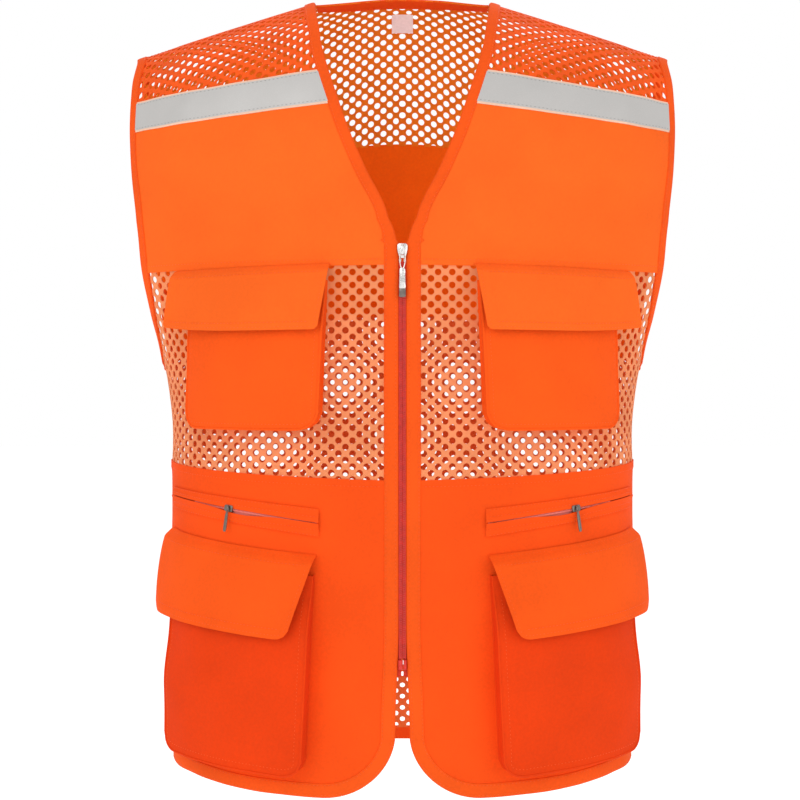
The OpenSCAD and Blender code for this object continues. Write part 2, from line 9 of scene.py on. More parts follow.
import bpy
import numpy as np
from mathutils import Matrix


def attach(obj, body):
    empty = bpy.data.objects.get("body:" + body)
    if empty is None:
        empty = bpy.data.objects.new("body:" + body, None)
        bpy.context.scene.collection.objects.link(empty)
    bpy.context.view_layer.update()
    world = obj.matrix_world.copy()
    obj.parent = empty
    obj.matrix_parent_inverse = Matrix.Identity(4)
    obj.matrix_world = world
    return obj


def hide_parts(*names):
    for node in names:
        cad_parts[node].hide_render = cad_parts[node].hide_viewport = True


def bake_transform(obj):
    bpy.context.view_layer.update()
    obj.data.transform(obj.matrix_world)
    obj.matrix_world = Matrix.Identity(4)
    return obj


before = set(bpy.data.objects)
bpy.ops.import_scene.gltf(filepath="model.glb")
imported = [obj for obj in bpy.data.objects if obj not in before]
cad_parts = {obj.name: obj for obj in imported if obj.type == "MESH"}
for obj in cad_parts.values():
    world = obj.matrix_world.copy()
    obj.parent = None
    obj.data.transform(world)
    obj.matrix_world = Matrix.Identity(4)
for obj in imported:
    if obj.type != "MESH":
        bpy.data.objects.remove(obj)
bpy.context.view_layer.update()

MM = 0.001
FRONT, BACK = -1, 1
SIDES = (("left", False), ("right", True))

# ---------------------------------------------------------------- torso surface (as in the CAD model)
PROFILE_STEP = 60
HALF_WIDTHS = (254, 254, 254, 254, 245, 219, 207, 205.5, 205.5, 206, 206, 204, 202)
BACK_DEPTHS = (106, 106, 106, 106, 102, 96, 90, 88, 91, 97, 104, 109, 112)
NECK_STEP = 20
NECK_HALVES = (78, 78, 77, 75, 72, 69, 63, 55, 45, 31, 12, 5)
ARM_STEP = 40
ARM_HALVES = (238, 236, 238, 238, 237, 231, 227, 220, 212.5)
FRONT_DEPTH = 122
CHEST_Z = -200
LATERAL_POWER = 2.4
RIDGE_TOP, RIDGE_SLOPE, RIDGE_ROUND = 27, 0.33, 40
NECK_HALF = 78
NECK_DIP = 30
ARMPIT_H = -330
BACK_HEM_H = -684
FRONT_HEM_H = -687
BINDING_W = 9
PLACKET_W = 12
COLLAR_WIDEN = 1.9
PLACKET_HALF = 3.5
HEM_LOW_X, HEM_INNER, HEM_HALF = 67, 6.5, 204


def mix(a, b, t):
    return a + (b - a) * t


def ease(t):
    c = np.clip(t, 0, 1)
    return c * c * (3 - 2 * c)


def sine(degrees):
    return np.sin(np.radians(degrees))


def cosine(degrees):
    return np.cos(np.radians(degrees))


def signed_power(value, power):
    return np.sign(value) * np.abs(value) ** power


def smooth_at(values, s):
    """Catmull-Rom curve through evenly spaced values."""
    v = np.asarray(values, float)
    last = len(v) - 1
    k = np.clip(s, 0, last - 0.001)
    i = np.floor(k).astype(int)
    f = k - i
    a, b = v[np.maximum(i - 1, 0)], v[i]
    c, d = v[np.minimum(i + 1, last)], v[np.minimum(i + 2, last)]
    return b + f / 2 * ((c - a) + f * ((2 * a - 5 * b + 4 * c - d) + f * (3 * b - a - 3 * c + d)))


def half_width(h):
    return smooth_at(HALF_WIDTHS, -np.asarray(h, float) / PROFILE_STEP)


def torso(side, a, h):
    """The point at angle a round from the zip and h down from the shoulder seam."""
    a, h = np.broadcast_arrays(np.asarray(a, float), np.asarray(h, float))
    power = 2.3 if side == FRONT else 3.0
    q = np.where(h < CHEST_Z, 0, 90 * (1 - h / CHEST_Z))
    x = half_width(h) * signed_power(sine(a), 2 / LATERAL_POWER)
    ridge = RIDGE_TOP - RIDGE_SLOPE * np.sqrt(x * x + RIDGE_ROUND**2)
    z = np.where(h < CHEST_Z, h, CHEST_Z + np.abs(sine(q)) ** (2 / power) * (ridge - CHEST_Z))
    depth = FRONT_DEPTH if side == FRONT else smooth_at(BACK_DEPTHS, -z / PROFILE_STEP)
    y = side * depth * signed_power(cosine(a), 2 / LATERAL_POWER) * signed_power(cosine(q), 2 / power)
    return np.stack([x, y, z], axis=-1)


def outward(side, a, h):
    step = 0.5
    across = torso(side, a + step, h) - torso(side, a - step, h)
    up = torso(side, a, h + step) - torso(side, a, h - step)
    n = -side * np.cross(across, up)
    return n / np.linalg.norm(n, axis=-1, keepdims=True)


def ripple(u, v, wave, seed, count=6):
    """A smooth random relief of about unit height, as a sum of seeded plane waves."""
    gen = np.random.default_rng(seed)
    total = 0
    for _ in range(count):
        turn, phase = gen.uniform(0, 2 * math.pi, 2)
        k = 2 * math.pi / (wave * gen.uniform(0.7, 1.5))
        total = total + np.sin(k * (u * math.cos(turn) + v * math.sin(turn)) + phase)
    return total / math.sqrt(count)


ARC_PER_DEGREE = 3.1
SLANT_H, SLANT_MID_X, SLANT_TILT = -447, 137, 8


def slant_h(x):
    return SLANT_H + math.tan(math.radians(SLANT_TILT)) * (x - SLANT_MID_X)


def relief(side, a, h):
    """The soft unevenness of the cloth. It dies out where sliders run."""
    x = half_width(h) * signed_power(sine(np.abs(a)), 2 / LATERAL_POWER)
    u = ARC_PER_DEGREE * np.asarray(a, float)
    h = np.asarray(h, float)
    seed = 3 if side == FRONT else 11
    swell = 0.8 * ripple(u, h * 0.6, 110, seed) + 0.3 * ripple(u, h, 34, seed + 1)
    drape = 0.9 * np.sin(u / 17 + 0.8 * np.sin(h / 70)) * ease((-h - 470) / 200)
    calm = ease((x - 12) / 30) * ease((-h - 5) / 40)
    if side == FRONT:
        calm = calm * ease((np.abs(h - slant_h(x)) - 10) / 25)
    return (swell + drape) * calm


def at(side, a, h, off):
    lift = np.asarray(off + relief(side, a, h))
    return torso(side, a, h) + lift[..., None] * outward(side, a, h)


def angle_of(x, h):
    return np.degrees(np.arcsin(signed_power(np.clip(x / half_width(h), -1, 1), LATERAL_POWER / 2)))


# ---------------------------------------------------------------- edges of the panels
def neck_x(h):
    return smooth_at(NECK_HALVES, -np.asarray(h, float) / NECK_STEP)


def arm_x(h):
    return smooth_at(ARM_HALVES, -np.asarray(h, float) / ARM_STEP)


def seam_x(h):
    edge = np.where(np.asarray(h) > ARMPIT_H, arm_x(h), half_width(h))
    return np.minimum(edge, half_width(h) * 0.99998)


def turn_at(side, a, h):
    """Millimetres round the body for each degree."""
    return np.linalg.norm(torso(side, a, h) - torso(side, a - 1, h), axis=-1)


def inside_arm(side, h, w):
    """The x that lies w inside the armhole's edge, measured round the body."""
    edge = angle_of(seam_x(h), h)
    return half_width(h) * signed_power(sine(edge - w / turn_at(side, edge, h)), 2 / LATERAL_POWER)


def opening_x(h):
    h = np.asarray(h, float)
    return np.where(h > -220, neck_x(h), PLACKET_HALF + 3 * ease((-h - 540) / 100))


def back_neck_h(x):
    return -NECK_DIP * np.maximum(1 - (x / NECK_HALF) ** 2, 0) - 0.05


def tape_top(s):
    return mix(-119, -107, s)


def tape_bottom(s):
    return mix(-143.5, -137, s)


def chest_seam(s):
    return mix(-238, -244, s)


def waist_seam(s):
    return mix(-421.5, -409.5, s)


def front_hem(s):
    corner = 56
    x = HEM_HALF * signed_power(sine(90 * np.asarray(s, float)), 2 / LATERAL_POWER)
    x = np.maximum(x, HEM_INNER)
    curl = 1 - np.sqrt(np.clip(1 - ((HEM_LOW_X - x) / (HEM_LOW_X - 6)) ** 2, 0, 1))
    rise = 14 * ((x - HEM_LOW_X) / (HEM_HALF - HEM_LOW_X)) ** 2
    return FRONT_HEM_H + np.where(x < HEM_LOW_X, corner * curl, rise)


def back_hem(s):
    return BACK_HEM_H + 12 * (2 * s - 1) ** 4


def back_band_top(s):
    return -170 - 6 * (2 * s - 1) ** 2


def back_band_bottom(s):
    return -281 - 54 * np.abs(2 * s - 1) ** 1.8


def flat(value):
    return lambda *_: value


class Patch:
    """A piece of cloth between a top, a bottom, an inner and an outer edge of the torso."""

    def __init__(self, side, top, bottom, inner, outer, low=flat(0)):
        self.side, self.top, self.bottom = side, top, bottom
        self.inner, self.outer, self.low = inner, outer, low

    def place(self, s, v):
        s, v = np.broadcast_arrays(np.asarray(s, float), np.asarray(v, float))
        h = mix(self.top(s), self.bottom(s), v)
        a = mix(angle_of(self.inner(h), h), angle_of(self.outer(h), h), s)
        return a, h

    def point(self, s, v, off=0.0):
        s, v = np.broadcast_arrays(np.asarray(s, float), np.asarray(v, float))
        a, h = self.place(s, v)
        return at(self.side, a, h, self.low(s, v) + off)


# ---------------------------------------------------------------- chunks: (points, faces, material)
def grid_quads(rows, cols):
    j, i = np.meshgrid(np.arange(rows - 1), np.arange(cols - 1), indexing="ij")
    k = (j * cols + i).ravel()
    return np.stack([k, k + 1, k + cols + 1, k + cols], axis=1)


def rim_loop(rows, cols):
    """The border of a grid, in order."""
    top = np.arange(cols)
    right = np.arange(1, rows) * cols + cols - 1
    bottom = (rows - 1) * cols + np.arange(cols - 2, -1, -1)
    left = np.arange(rows - 2, 0, -1) * cols
    return np.concatenate([top, right, bottom, left])


def oriented(points, faces):
    a, b, c, d = (points[faces[:, k]] for k in range(4))
    volume = np.einsum("ij,ij->i", a, np.cross(b, c)).sum() + np.einsum("ij,ij->i", a, np.cross(c, d)).sum()
    return faces if volume > 0 else faces[:, ::-1]


def shell(outer, inner, material=0):
    """A closed shell between two grids of points."""
    rows, cols = outer.shape[:2]
    count = rows * cols
    points = np.concatenate([outer.reshape(-1, 3), inner.reshape(-1, 3)])
    quads = grid_quads(rows, cols)
    rim = rim_loop(rows, cols)
    nxt = np.roll(rim, -1)
    side = np.stack([nxt, rim, rim + count, nxt + count], axis=1)
    faces = np.concatenate([quads, quads[:, ::-1] + count, side])
    return points, oriented(points - points.mean(axis=0), faces), material


def between_bindings(s, first=0.055, last=0.965):
    """1 between a panel's bound edges and 0 under the bindings, where the cloth lies flat."""
    return ease((s - first) / 0.02) * ease((last - s) / 0.02)


def cloth(patch, nx, nv, thick=1.0, material=0, bump=flat(0.0)):
    """A patch with thickness. bump(s, v) raises the outer skin, for hems and folds."""
    s, v = np.meshgrid(np.linspace(0, 1, nx + 1), np.linspace(0, 1, nv + 1))
    raised = bump(s, v)
    return shell(patch.point(s, v, thick / 2 + raised), patch.point(s, v, -thick / 2), material)


def loft(rings, material=0):
    """A closed skin through rings of points, (count, around, 3), capped at both ends."""
    count, around = rings.shape[:2]
    centres = np.stack([rings[0].mean(axis=0), rings[-1].mean(axis=0)])
    first = count * around
    points = np.concatenate([rings.reshape(-1, 3), centres])
    j, i = np.meshgrid(np.arange(count - 1), np.arange(around), indexing="ij")
    here = (j * around + i).ravel()
    nxt = (j * around + (i + 1) % around).ravel()
    faces = np.stack([here, nxt, nxt + around, here + around], axis=1)
    k = np.arange(around)
    turned = (k + 1) % around
    start = np.stack([turned, k, np.full(around, first), np.full(around, first)], axis=1)
    end = np.stack([k, turned, np.full(around, first + 1), np.full(around, first + 1)], axis=1)
    end[:, :2] += first - around
    faces = np.concatenate([faces, start, end])
    return points, oriented(points - points.mean(axis=0), faces), material


def frames_along(path):
    """Unit directions along a path."""
    step = np.gradient(path, axis=0)
    return step / np.linalg.norm(step, axis=1, keepdims=True)


def cord_along(path, normals, width, height, material=0, around=8):
    """A thin cord or piping of elliptical section, lying along a path."""
    along = frames_along(path)
    across = np.cross(along, normals)
    across /= np.linalg.norm(across, axis=1, keepdims=True)
    turn = np.linspace(0, 2 * math.pi, around, endpoint=False)
    rings = (
        path[:, None]
        + width / 2 * np.cos(turn)[None, :, None] * across[:, None]
        + height / 2 * np.sin(turn)[None, :, None] * normals[:, None]
    )
    return loft(rings, material)


def resample(path, extra, spacing):
    """Points every spacing along a path, with a second array carried along."""
    reach = np.concatenate([[0], np.cumsum(np.linalg.norm(np.diff(path, axis=0), axis=1))])
    count = max(int(reach[-1] / spacing), 2)
    where = (np.arange(count) + 0.5) * reach[-1] / count
    pick = lambda values: np.stack([np.interp(where, reach, values[:, k]) for k in range(3)], axis=1)
    return pick(path), pick(extra)


STITCH_PITCH, STITCH_LENGTH, THREAD_W = 3.2, 2.3, 0.5
THREAD_TOP, THREAD_END, THREAD_FOOT = 0.28, -0.1, -0.2


def stitches(path, normals, material=1, pitch=STITCH_PITCH):
    """Thread dashes: long thin octahedra half sunk in the cloth."""
    middle, up = resample(path, normals, pitch)
    along = frames_along(middle)
    across = np.cross(along, up)
    across /= np.linalg.norm(across, axis=1, keepdims=True)
    half = STITCH_LENGTH / 2 * pitch / STITCH_PITCH
    corners = [
        middle - half * along + THREAD_END * up,
        middle + THREAD_W / 2 * across,
        middle + THREAD_TOP * up,
        middle - THREAD_W / 2 * across,
        middle + THREAD_FOOT * up,
        middle + half * along + THREAD_END * up,
    ]
    ring = [1, 2, 3, 4]
    faces = []
    for a, b in zip(ring, ring[1:] + ring[:1]):
        faces += [[0, b, a, a], [5, a, b, b]]
    every = np.arange(len(middle))[:, None, None] * 6 + np.array(faces)
    return np.stack(corners, axis=1).reshape(-1, 3), every.reshape(-1, 4), material


def stitch_on(patch, s, v, off, material=1, pitch=STITCH_PITCH):
    """A row of stitches along s(t), v(t) on a patch."""
    base = patch.point(s, v, off)
    return stitches(base, patch.point(s, v, off + 1) - base, material, pitch)


def stitch_line(side, a, h, lift):
    """A row of stitches at angles a and heights h, lift above the middle of the cloth."""
    return stitches(at(side, a, h, lift), outward(side, a, h))


T = np.linspace(0, 1, 160)


# ---------------------------------------------------------------- perforated mesh
HOLE_DX, HOLE_DY = 12.0, 10.9
MESH_T = 0.9
HOLE_RADIUS = 2.85
LOW_HOLE_RADIUS = 2.35
SMALLEST_QUAD = 0.05


def bisect(low, high, past):
    """The values between low and high at which past(value) turns true."""
    for _ in range(22):
        mid = (low + high) / 2
        over = past(mid)
        low, high = np.where(over, low, mid), np.where(over, mid, high)
    return (low + high) / 2


class Flattened:
    """Arc-length coordinates on one side of the torso: p round from the zip, q down.

    Below the chest q is the height itself and p is measured along each level line. On the shoulders
    the columns keep a fixed x, p is measured along one level line and q down each column.
    """

    def __init__(self, side, h_low, h_high, level=None):
        self.level = level
        self.hs = np.linspace(h_high, h_low, 90)
        self.angles = np.linspace(0, 90, 181)
        a, h = np.meshgrid(self.angles, self.hs)
        points = torso(side, a, h)
        if level is None:
            run = np.linalg.norm(np.diff(points, axis=1), axis=2)
            self.p_table = np.concatenate([np.zeros((len(self.hs), 1)), np.cumsum(run, axis=1)], axis=1)
        else:
            run = np.linalg.norm(np.diff(torso(side, self.angles, level), axis=0), axis=1)
            self.p_line = np.concatenate([[0], np.cumsum(run)])
            fall = np.linalg.norm(np.diff(points, axis=0), axis=2)
            self.q_table = np.concatenate([np.zeros((1, len(self.angles))), np.cumsum(fall, axis=0)])

    def look_up(self, table, a, h):
        """A table's value at angle a and height h."""
        row = (self.hs[0] - h) / (self.hs[0] - self.hs[-1]) * (len(self.hs) - 1)
        per_degree = (len(self.angles) - 1) / 90
        row = np.clip(row, 0, len(self.hs) - 1.001)
        col = np.clip(np.abs(a) * per_degree, 0, len(self.angles) - 1.001)
        return bilinear(table, row, col)

    def p_of(self, a, h):
        a = np.asarray(a, float)
        if self.level is not None:
            return np.sign(a) * np.interp(np.abs(a), self.angles, self.p_line)
        return np.sign(a) * self.look_up(self.p_table, a, h)

    def locate(self, p, q):
        """(a, h) at flat coordinates."""
        if self.level is not None:
            a = np.sign(p) * np.interp(np.abs(p), self.p_line, self.angles)
            low, high = np.full(p.shape, self.hs[-1]), np.full(p.shape, self.hs[0])
            return a, bisect(low, high, lambda h: self.look_up(self.q_table, a, h) <= q)
        low, high = np.zeros(p.shape), np.full(p.shape, 90.0)
        return np.sign(p) * bisect(low, high, lambda a: self.p_of(a, -q) > np.abs(p)), -q


def bilinear(table, row, col):
    i, j = np.floor(row).astype(int), np.floor(col).astype(int)
    f, g = row - i, col - j
    upper = table[i, j] * (1 - g) + table[i, j + 1] * g
    lower = table[i + 1, j] * (1 - g) + table[i + 1, j + 1] * g
    return upper * (1 - f) + lower * f


def hole_cells(p_low, p_high, q_low, q_high, sides, radius):
    """Diamond cells with a round hole, welded: (points (n, 2), ring quads)."""
    columns = np.arange(math.floor(p_low / HOLE_DX) - 1, math.ceil(p_high / HOLE_DX) + 2)
    rows = np.arange(math.floor(q_low / HOLE_DY) - 1, math.ceil(q_high / HOLE_DY) + 2)
    places = [(i + k, j + k) for i in columns for j in rows for k in (0, 0.5)]
    centres = np.array(places) * (HOLE_DX, HOLE_DY)
    corner = np.array([(HOLE_DX / 2, 0), (0, HOLE_DY / 2), (-HOLE_DX / 2, 0), (0, -HOLE_DY / 2)])
    per_edge = sides // 4
    border = [mix(corner[k], corner[(k + 1) % 4], m / per_edge) for k in range(4) for m in range(per_edge)]
    turn = np.arange(sides) * 2 * math.pi / sides
    hole = radius * np.stack([np.cos(turn), np.sin(turn)], axis=1)
    around = [(centres[:, None] + np.array(loop)).reshape(-1, 2) for loop in (border, hole)]
    points = np.concatenate(around)
    k = np.arange(sides)
    nxt = (k + 1) % sides
    offset = len(centres) * sides
    ring = np.stack([k, nxt, nxt + offset, k + offset], axis=1)
    quads = (np.arange(len(centres))[:, None, None] * sides + ring[None]).reshape(-1, 4)
    key = np.round(points * 100).astype(np.int64)
    _, first, inverse = np.unique(key, axis=0, return_index=True, return_inverse=True)
    return points[first], inverse.reshape(-1)[quads]


def perforated(patch, flat_map, sides=12, radius=HOLE_RADIUS, off=0.0):
    """The mesh fabric of a patch, cut off cleanly at its edges."""
    hs = np.linspace(flat_map.hs[-1], flat_map.hs[0], 60)
    reach = np.abs(flat_map.p_of(angle_of(patch.outer(hs), hs), hs)).max() + HOLE_DX
    start = flat_map.p_of(angle_of(patch.inner(hs), hs), hs).min() - HOLE_DX
    depth = flat_map.q_table.max() if flat_map.level is not None else -flat_map.hs[-1]
    first = 0 if flat_map.level is not None else -flat_map.hs[0]
    flat_points, quads = hole_cells(start, reach, first, depth, sides, radius)
    a, h = flat_map.locate(*flat_points.T)
    for _ in range(2):
        a_in, a_out = angle_of(patch.inner(h), h), angle_of(patch.outer(h), h)
        s = np.clip((a - a_in) / (a_out - a_in), 0, 1)
        h = np.clip(h, patch.bottom(s), patch.top(s))
        a = np.clip(a, angle_of(patch.inner(h), h), angle_of(patch.outer(h), h))
    corners = at(patch.side, a, h, 0.0)[quads]
    diagonals = corners[:, 2:] - corners[:, :2]
    area = np.linalg.norm(np.cross(diagonals[:, 0], diagonals[:, 1]), axis=1) / 2
    used, packed = np.unique(quads[area > SMALLEST_QUAD], return_inverse=True)
    quads = packed.reshape(-1, 4)
    a, h = a[used], h[used]
    outer_skin = at(patch.side, a, h, off + MESH_T / 2)
    inner_skin = at(patch.side, a, h, off - MESH_T / 2)
    return thick_sheet(outer_skin, inner_skin, quads)


def thick_sheet(outer_skin, inner_skin, quads):
    """Two skins over the same quads, joined along every open edge."""
    count = len(outer_skin)
    edges = np.concatenate([quads[:, [k, (k + 1) % 4]] for k in range(4)])
    edges = edges[edges[:, 0] != edges[:, 1]]
    key = edges.min(axis=1) * count + edges.max(axis=1)
    _, first, uses = np.unique(key, return_index=True, return_counts=True)
    start, end = edges[first[uses == 1]].T
    wall = np.stack([end, start, start + count, end + count], axis=1)
    faces = np.concatenate([quads, quads[:, ::-1] + count, wall])
    points = np.concatenate([outer_skin, inner_skin])
    a, b, c = (outer_skin[quads[:, k]] for k in (0, 1, 2))
    facing = np.einsum("ij,ij->i", np.cross(b - a, c - a), (outer_skin - inner_skin)[quads[:, 0]]).sum()
    return points, faces if facing > 0 else faces[:, ::-1], 0


# ---------------------------------------------------------------- objects
def link(name, data):
    """A new object in the scene."""
    obj = bpy.data.objects.new(name, data)
    bpy.context.scene.collection.objects.link(obj)
    return obj


def make(name, chunks, materials, mirrored=False, sharp=40):
    """One object from chunks of mesh, smooth but for edges sharper than sharp degrees."""
    points, faces, marks, base = [], [], [], 0
    for chunk_points, chunk_faces, material in chunks:
        points.append(chunk_points)
        faces.append(np.asarray(chunk_faces) + base)
        marks.append(np.full(len(chunk_faces), material))
        base += len(chunk_points)
    points, faces, marks = np.concatenate(points) * MM, np.concatenate(faces), np.concatenate(marks)
    if mirrored:
        points = points * (-1, 1, 1)
        faces = faces[:, ::-1]
    rows = [tuple(dict.fromkeys(face)) for face in faces.tolist()]
    keep = [k for k, row in enumerate(rows) if len(row) > 2]
    mesh = bpy.data.meshes.new(name)
    mesh.from_pydata(points.tolist(), [], [rows[k] for k in keep])
    mesh.polygons.foreach_set("material_index", marks[keep].astype(np.int32))
    mesh.polygons.foreach_set("use_smooth", np.full(len(keep), True))
    for material in materials:
        mesh.materials.append(material)
    mesh.update()
    mesh.set_sharp_from_angle(angle=math.radians(sharp))
    return link(name, mesh)


def place(obj, body, slot, *nodes):
    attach(obj, body)
    if nodes:
        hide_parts(*nodes)


def bend_at_shoulder(obj, name, slot, *nodes):
    """Hides the CAD parts that the piece replaces and bakes the piece's transform."""
    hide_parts(*nodes)
    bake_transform(obj)


def bend_at_side(obj, name, slot, *nodes):
    """Hides the CAD parts that the piece replaces and bakes the piece's transform."""
    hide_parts(*nodes)
    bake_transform(obj)


def riding(body):
    """Hangs a piece on a body, whose name may hold the side."""
    return lambda obj, name, slot, *nodes: place(obj, body.format(name), slot, *nodes)


on_back, on_front = riding("back"), riding("{}_front")


def cut_size(patch):
    """The rectangle that a patch is cut from: its longest line across and down."""
    s, v = np.meshgrid(np.linspace(0, 1, 25), np.linspace(0, 1, 25))
    points = patch.point(s, v) * MM
    across = np.linalg.norm(np.diff(points, axis=1), axis=2).sum(axis=1).max()
    down = np.linalg.norm(np.diff(points, axis=0), axis=2).sum(axis=0).max()
    return across, down


def pair(name, chunks, look, hang, slot, node, sharp=40):
    """The left piece and its mirror image. node goes without the side's name."""
    for side, mirrored in SIDES:
        piece = make(f"{side}_{name}", chunks, look, mirrored, sharp)
        hang(piece, side, slot, *([f"{side}_{node}"] if node else []))


# ---------------------------------------------------------------- materials
class Shader:
    """A principled material with a few helpers for its nodes."""

    def __init__(self, name, base, roughness=0.8, metallic=0.0, specular=0.3):
        self.material = bpy.data.materials.new(name)
        self.material.use_nodes = True
        self.tree = self.material.node_tree
        self.bsdf = self.tree.nodes["Principled BSDF"]
        self.base = base
        self.bsdf.inputs["Base Color"].default_value = (*base, 1)
        self.bsdf.inputs["Roughness"].default_value = roughness
        self.bsdf.inputs["Metallic"].default_value = metallic
        self.bsdf.inputs["Specular IOR Level"].default_value = specular
        self.coords = self.tree.nodes.new("ShaderNodeTexCoord")

    def add(self, kind, **inputs):
        node = self.tree.nodes.new(kind)
        for key, value in inputs.items():
            node.inputs[key].default_value = value
        return node

    def link(self, source, target):
        self.tree.links.new(source, target)

    def noise(self, scale, detail=3.0):
        node = self.add("ShaderNodeTexNoise", Scale=scale, Detail=detail)
        self.link(self.coords.outputs["Object"], node.inputs["Vector"])
        return node.outputs["Fac"]

    def bands(self, scale, rotation, distortion=0.0):
        """Fine parallel ribs, as in a twill or a knit."""
        turn = self.add("ShaderNodeMapping", Rotation=rotation)
        self.link(self.coords.outputs["Object"], turn.inputs["Vector"])
        node = self.add("ShaderNodeTexWave", Scale=scale, Distortion=distortion)
        self.link(turn.outputs["Vector"], node.inputs["Vector"])
        return node.outputs["Fac"]

    def cells(self, scale):
        node = self.add("ShaderNodeTexVoronoi", Scale=scale)
        self.link(self.coords.outputs["Object"], node.inputs["Vector"])
        return node.outputs["Distance"]

    def blend_value(self, a, b, factor):
        node = self.tree.nodes.new("ShaderNodeMix")
        node.inputs["Factor"].default_value = factor
        self.link(a, node.inputs["A"])
        self.link(b, node.inputs["B"])
        return node.outputs["Result"]

    def ramp(self, value, low, high, dark, light):
        node = self.tree.nodes.new("ShaderNodeValToRGB")
        node.color_ramp.elements[0].position = low
        node.color_ramp.elements[1].position = high
        node.color_ramp.elements[0].color = (*dark, 1)
        node.color_ramp.elements[1].color = (*light, 1)
        self.link(value, node.inputs["Fac"])
        return node.outputs["Color"]

    def tones(self, value, low=0.35, high=0.65, dark=0.86, light=1.06):
        """The base colour, varied by a value between a darker and a lighter tone."""
        shade = lambda k: tuple(min(c * k, 1) for c in self.base)
        self.link(self.ramp(value, low, high, shade(dark), shade(light)), self.bsdf.inputs["Base Color"])

    def rough(self, value, low, high):
        node = self.add("ShaderNodeMapRange")
        node.inputs["To Min"].default_value = low
        node.inputs["To Max"].default_value = high
        self.link(value, node.inputs["Value"])
        self.link(node.outputs["Result"], self.bsdf.inputs["Roughness"])

    def bump(self, value, strength, distance):
        node = self.add("ShaderNodeBump", Strength=strength, Distance=distance)
        self.link(value, node.inputs["Height"])
        previous = self.bsdf.inputs["Normal"].links
        if previous:
            self.link(previous[0].from_socket, node.inputs["Normal"])
        self.link(node.outputs["Normal"], self.bsdf.inputs["Normal"])


QUARTER = math.radians(45)


def twill(name, base, rib=900.0):
    """Fine diagonal polyester twill with soft mottling."""
    shader = Shader(name, base, roughness=0.86, specular=0.12)
    ribs = shader.bands(rib, (0, QUARTER, 0), 0.6)
    mottle = shader.noise(14, 4)
    grain = shader.noise(420, 2)
    shader.tones(shader.blend_value(mottle, grain, 0.35), 0.36, 0.64, 0.9, 1.05)
    shader.rough(grain, 0.74, 0.9)
    shader.bump(ribs, 0.25, 0.0002)
    shader.bump(shader.noise(60, 3), 0.18, 0.0012)
    return shader.material


def knit(name, base):
    """Knitted mesh strands, with ribs along the courses."""
    shader = Shader(name, base, roughness=0.75, specular=0.15)
    courses = shader.bands(700, (0, 0, 0), 1.5)
    ribs = shader.blend_value(courses, shader.bands(900, (0, QUARTER * 2, 0), 1.5), 0.5)
    mottle = shader.noise(30, 3)
    shader.tones(shader.blend_value(mottle, ribs, 0.3), 0.3, 0.7, 0.84, 1.08)
    shader.rough(mottle, 0.6, 0.82)
    shader.bump(ribs, 0.5, 0.0003)
    return shader.material


def thread(name, base):
    shader = Shader(name, base, roughness=0.5, specular=0.5)
    shader.tones(shader.noise(900, 2), 0.3, 0.7, 0.85, 1.1)
    return shader.material


def reflective(name):
    """Grey glass-bead tape: a fine pebbled face with a satin glint."""
    shader = Shader(name, (0.46, 0.445, 0.43), roughness=0.42, metallic=0.1, specular=0.5)
    beads = shader.cells(1600)
    shader.tones(shader.blend_value(beads, shader.noise(25, 4), 0.6), 0.25, 0.75, 0.93, 1.05)
    shader.rough(shader.noise(40, 3), 0.36, 0.5)
    shader.bump(beads, 0.25, 0.00015)
    return shader.material


def metal(name, base, roughness):
    shader = Shader(name, base, roughness=roughness, metallic=1.0)
    scuffs = shader.noise(700, 4)
    shader.tones(scuffs, 0.3, 0.7, 0.85, 1.08)
    shader.rough(scuffs, roughness * 0.7, roughness * 1.6)
    shader.bump(shader.noise(1500, 2), 0.08, 0.0001)
    return shader.material


def moulded(name, base):
    """Dyed nylon of the chain and its box."""
    shader = Shader(name, base, roughness=0.42, specular=0.5)
    shader.tones(shader.noise(250, 3), 0.3, 0.7, 0.82, 1.1)
    shader.rough(shader.noise(600, 2), 0.34, 0.55)
    return shader.material


ORANGE = twill("orange_twill", (0.9, 0.125, 0.012))
DEEP_ORANGE = twill("deep_orange_twill", (0.87, 0.076, 0.005))
CARGO_LID = twill("cargo_flap_twill", (0.87, 0.09, 0.006))
# The chest pocket's twill is darker than ORANGE: painted shade on the pocket's face and its wall.
SHADED_CHEST_FACE = twill("chest_pocket_twill", (0.86, 0.09, 0.006))
# The cargo pocket's twill is much darker than ORANGE: painted shade on the pocket's face and its wall.
SHADED_CARGO_FACE = twill("cargo_pocket_twill", (0.73, 0.045, 0.002))
# The back band's twill is lighter than ORANGE: painted light that offsets the shade inside the vest, where
# the band shows through the neck opening.
LIT_BAND_ORANGE = twill("back_band_twill", (0.97, 0.155, 0.004))
BIND_ORANGE = twill("binding_orange", (0.84, 0.09, 0.007), rib=1200.0)
YOKE_KNIT = knit("yoke_mesh_orange", (0.9, 0.1, 0.008))
BACK_KNIT = knit("back_mesh_orange", (0.9, 0.24, 0.012))
# The lower back mesh is a paler amber than the yoke mesh: painted light that lifts the shade inside the
# vest where this mesh shows through the front mesh. The side seam cords share this colour.
LOW_KNIT_LIT = knit("back_lower_mesh_amber", (0.86, 0.17, 0.035))
# The front mesh's strands are pale peach rather than orange: painted sheen, with light shining through the
# thin glossy mesh.
FRONT_KNIT_SHEEN = knit("front_mesh_peach", (0.85, 0.27, 0.11))
THREAD = thread("orange_thread", (0.82, 0.1, 0.012))
GREY_THREAD = thread("grey_thread", (0.2, 0.19, 0.18))
TAPE = reflective("reflective_tape")
EDGING = twill("tape_edging", (0.8, 0.52, 0.38), rib=1200.0)
RED_COIL = moulded("red_coil", (0.64, 0.024, 0.012))
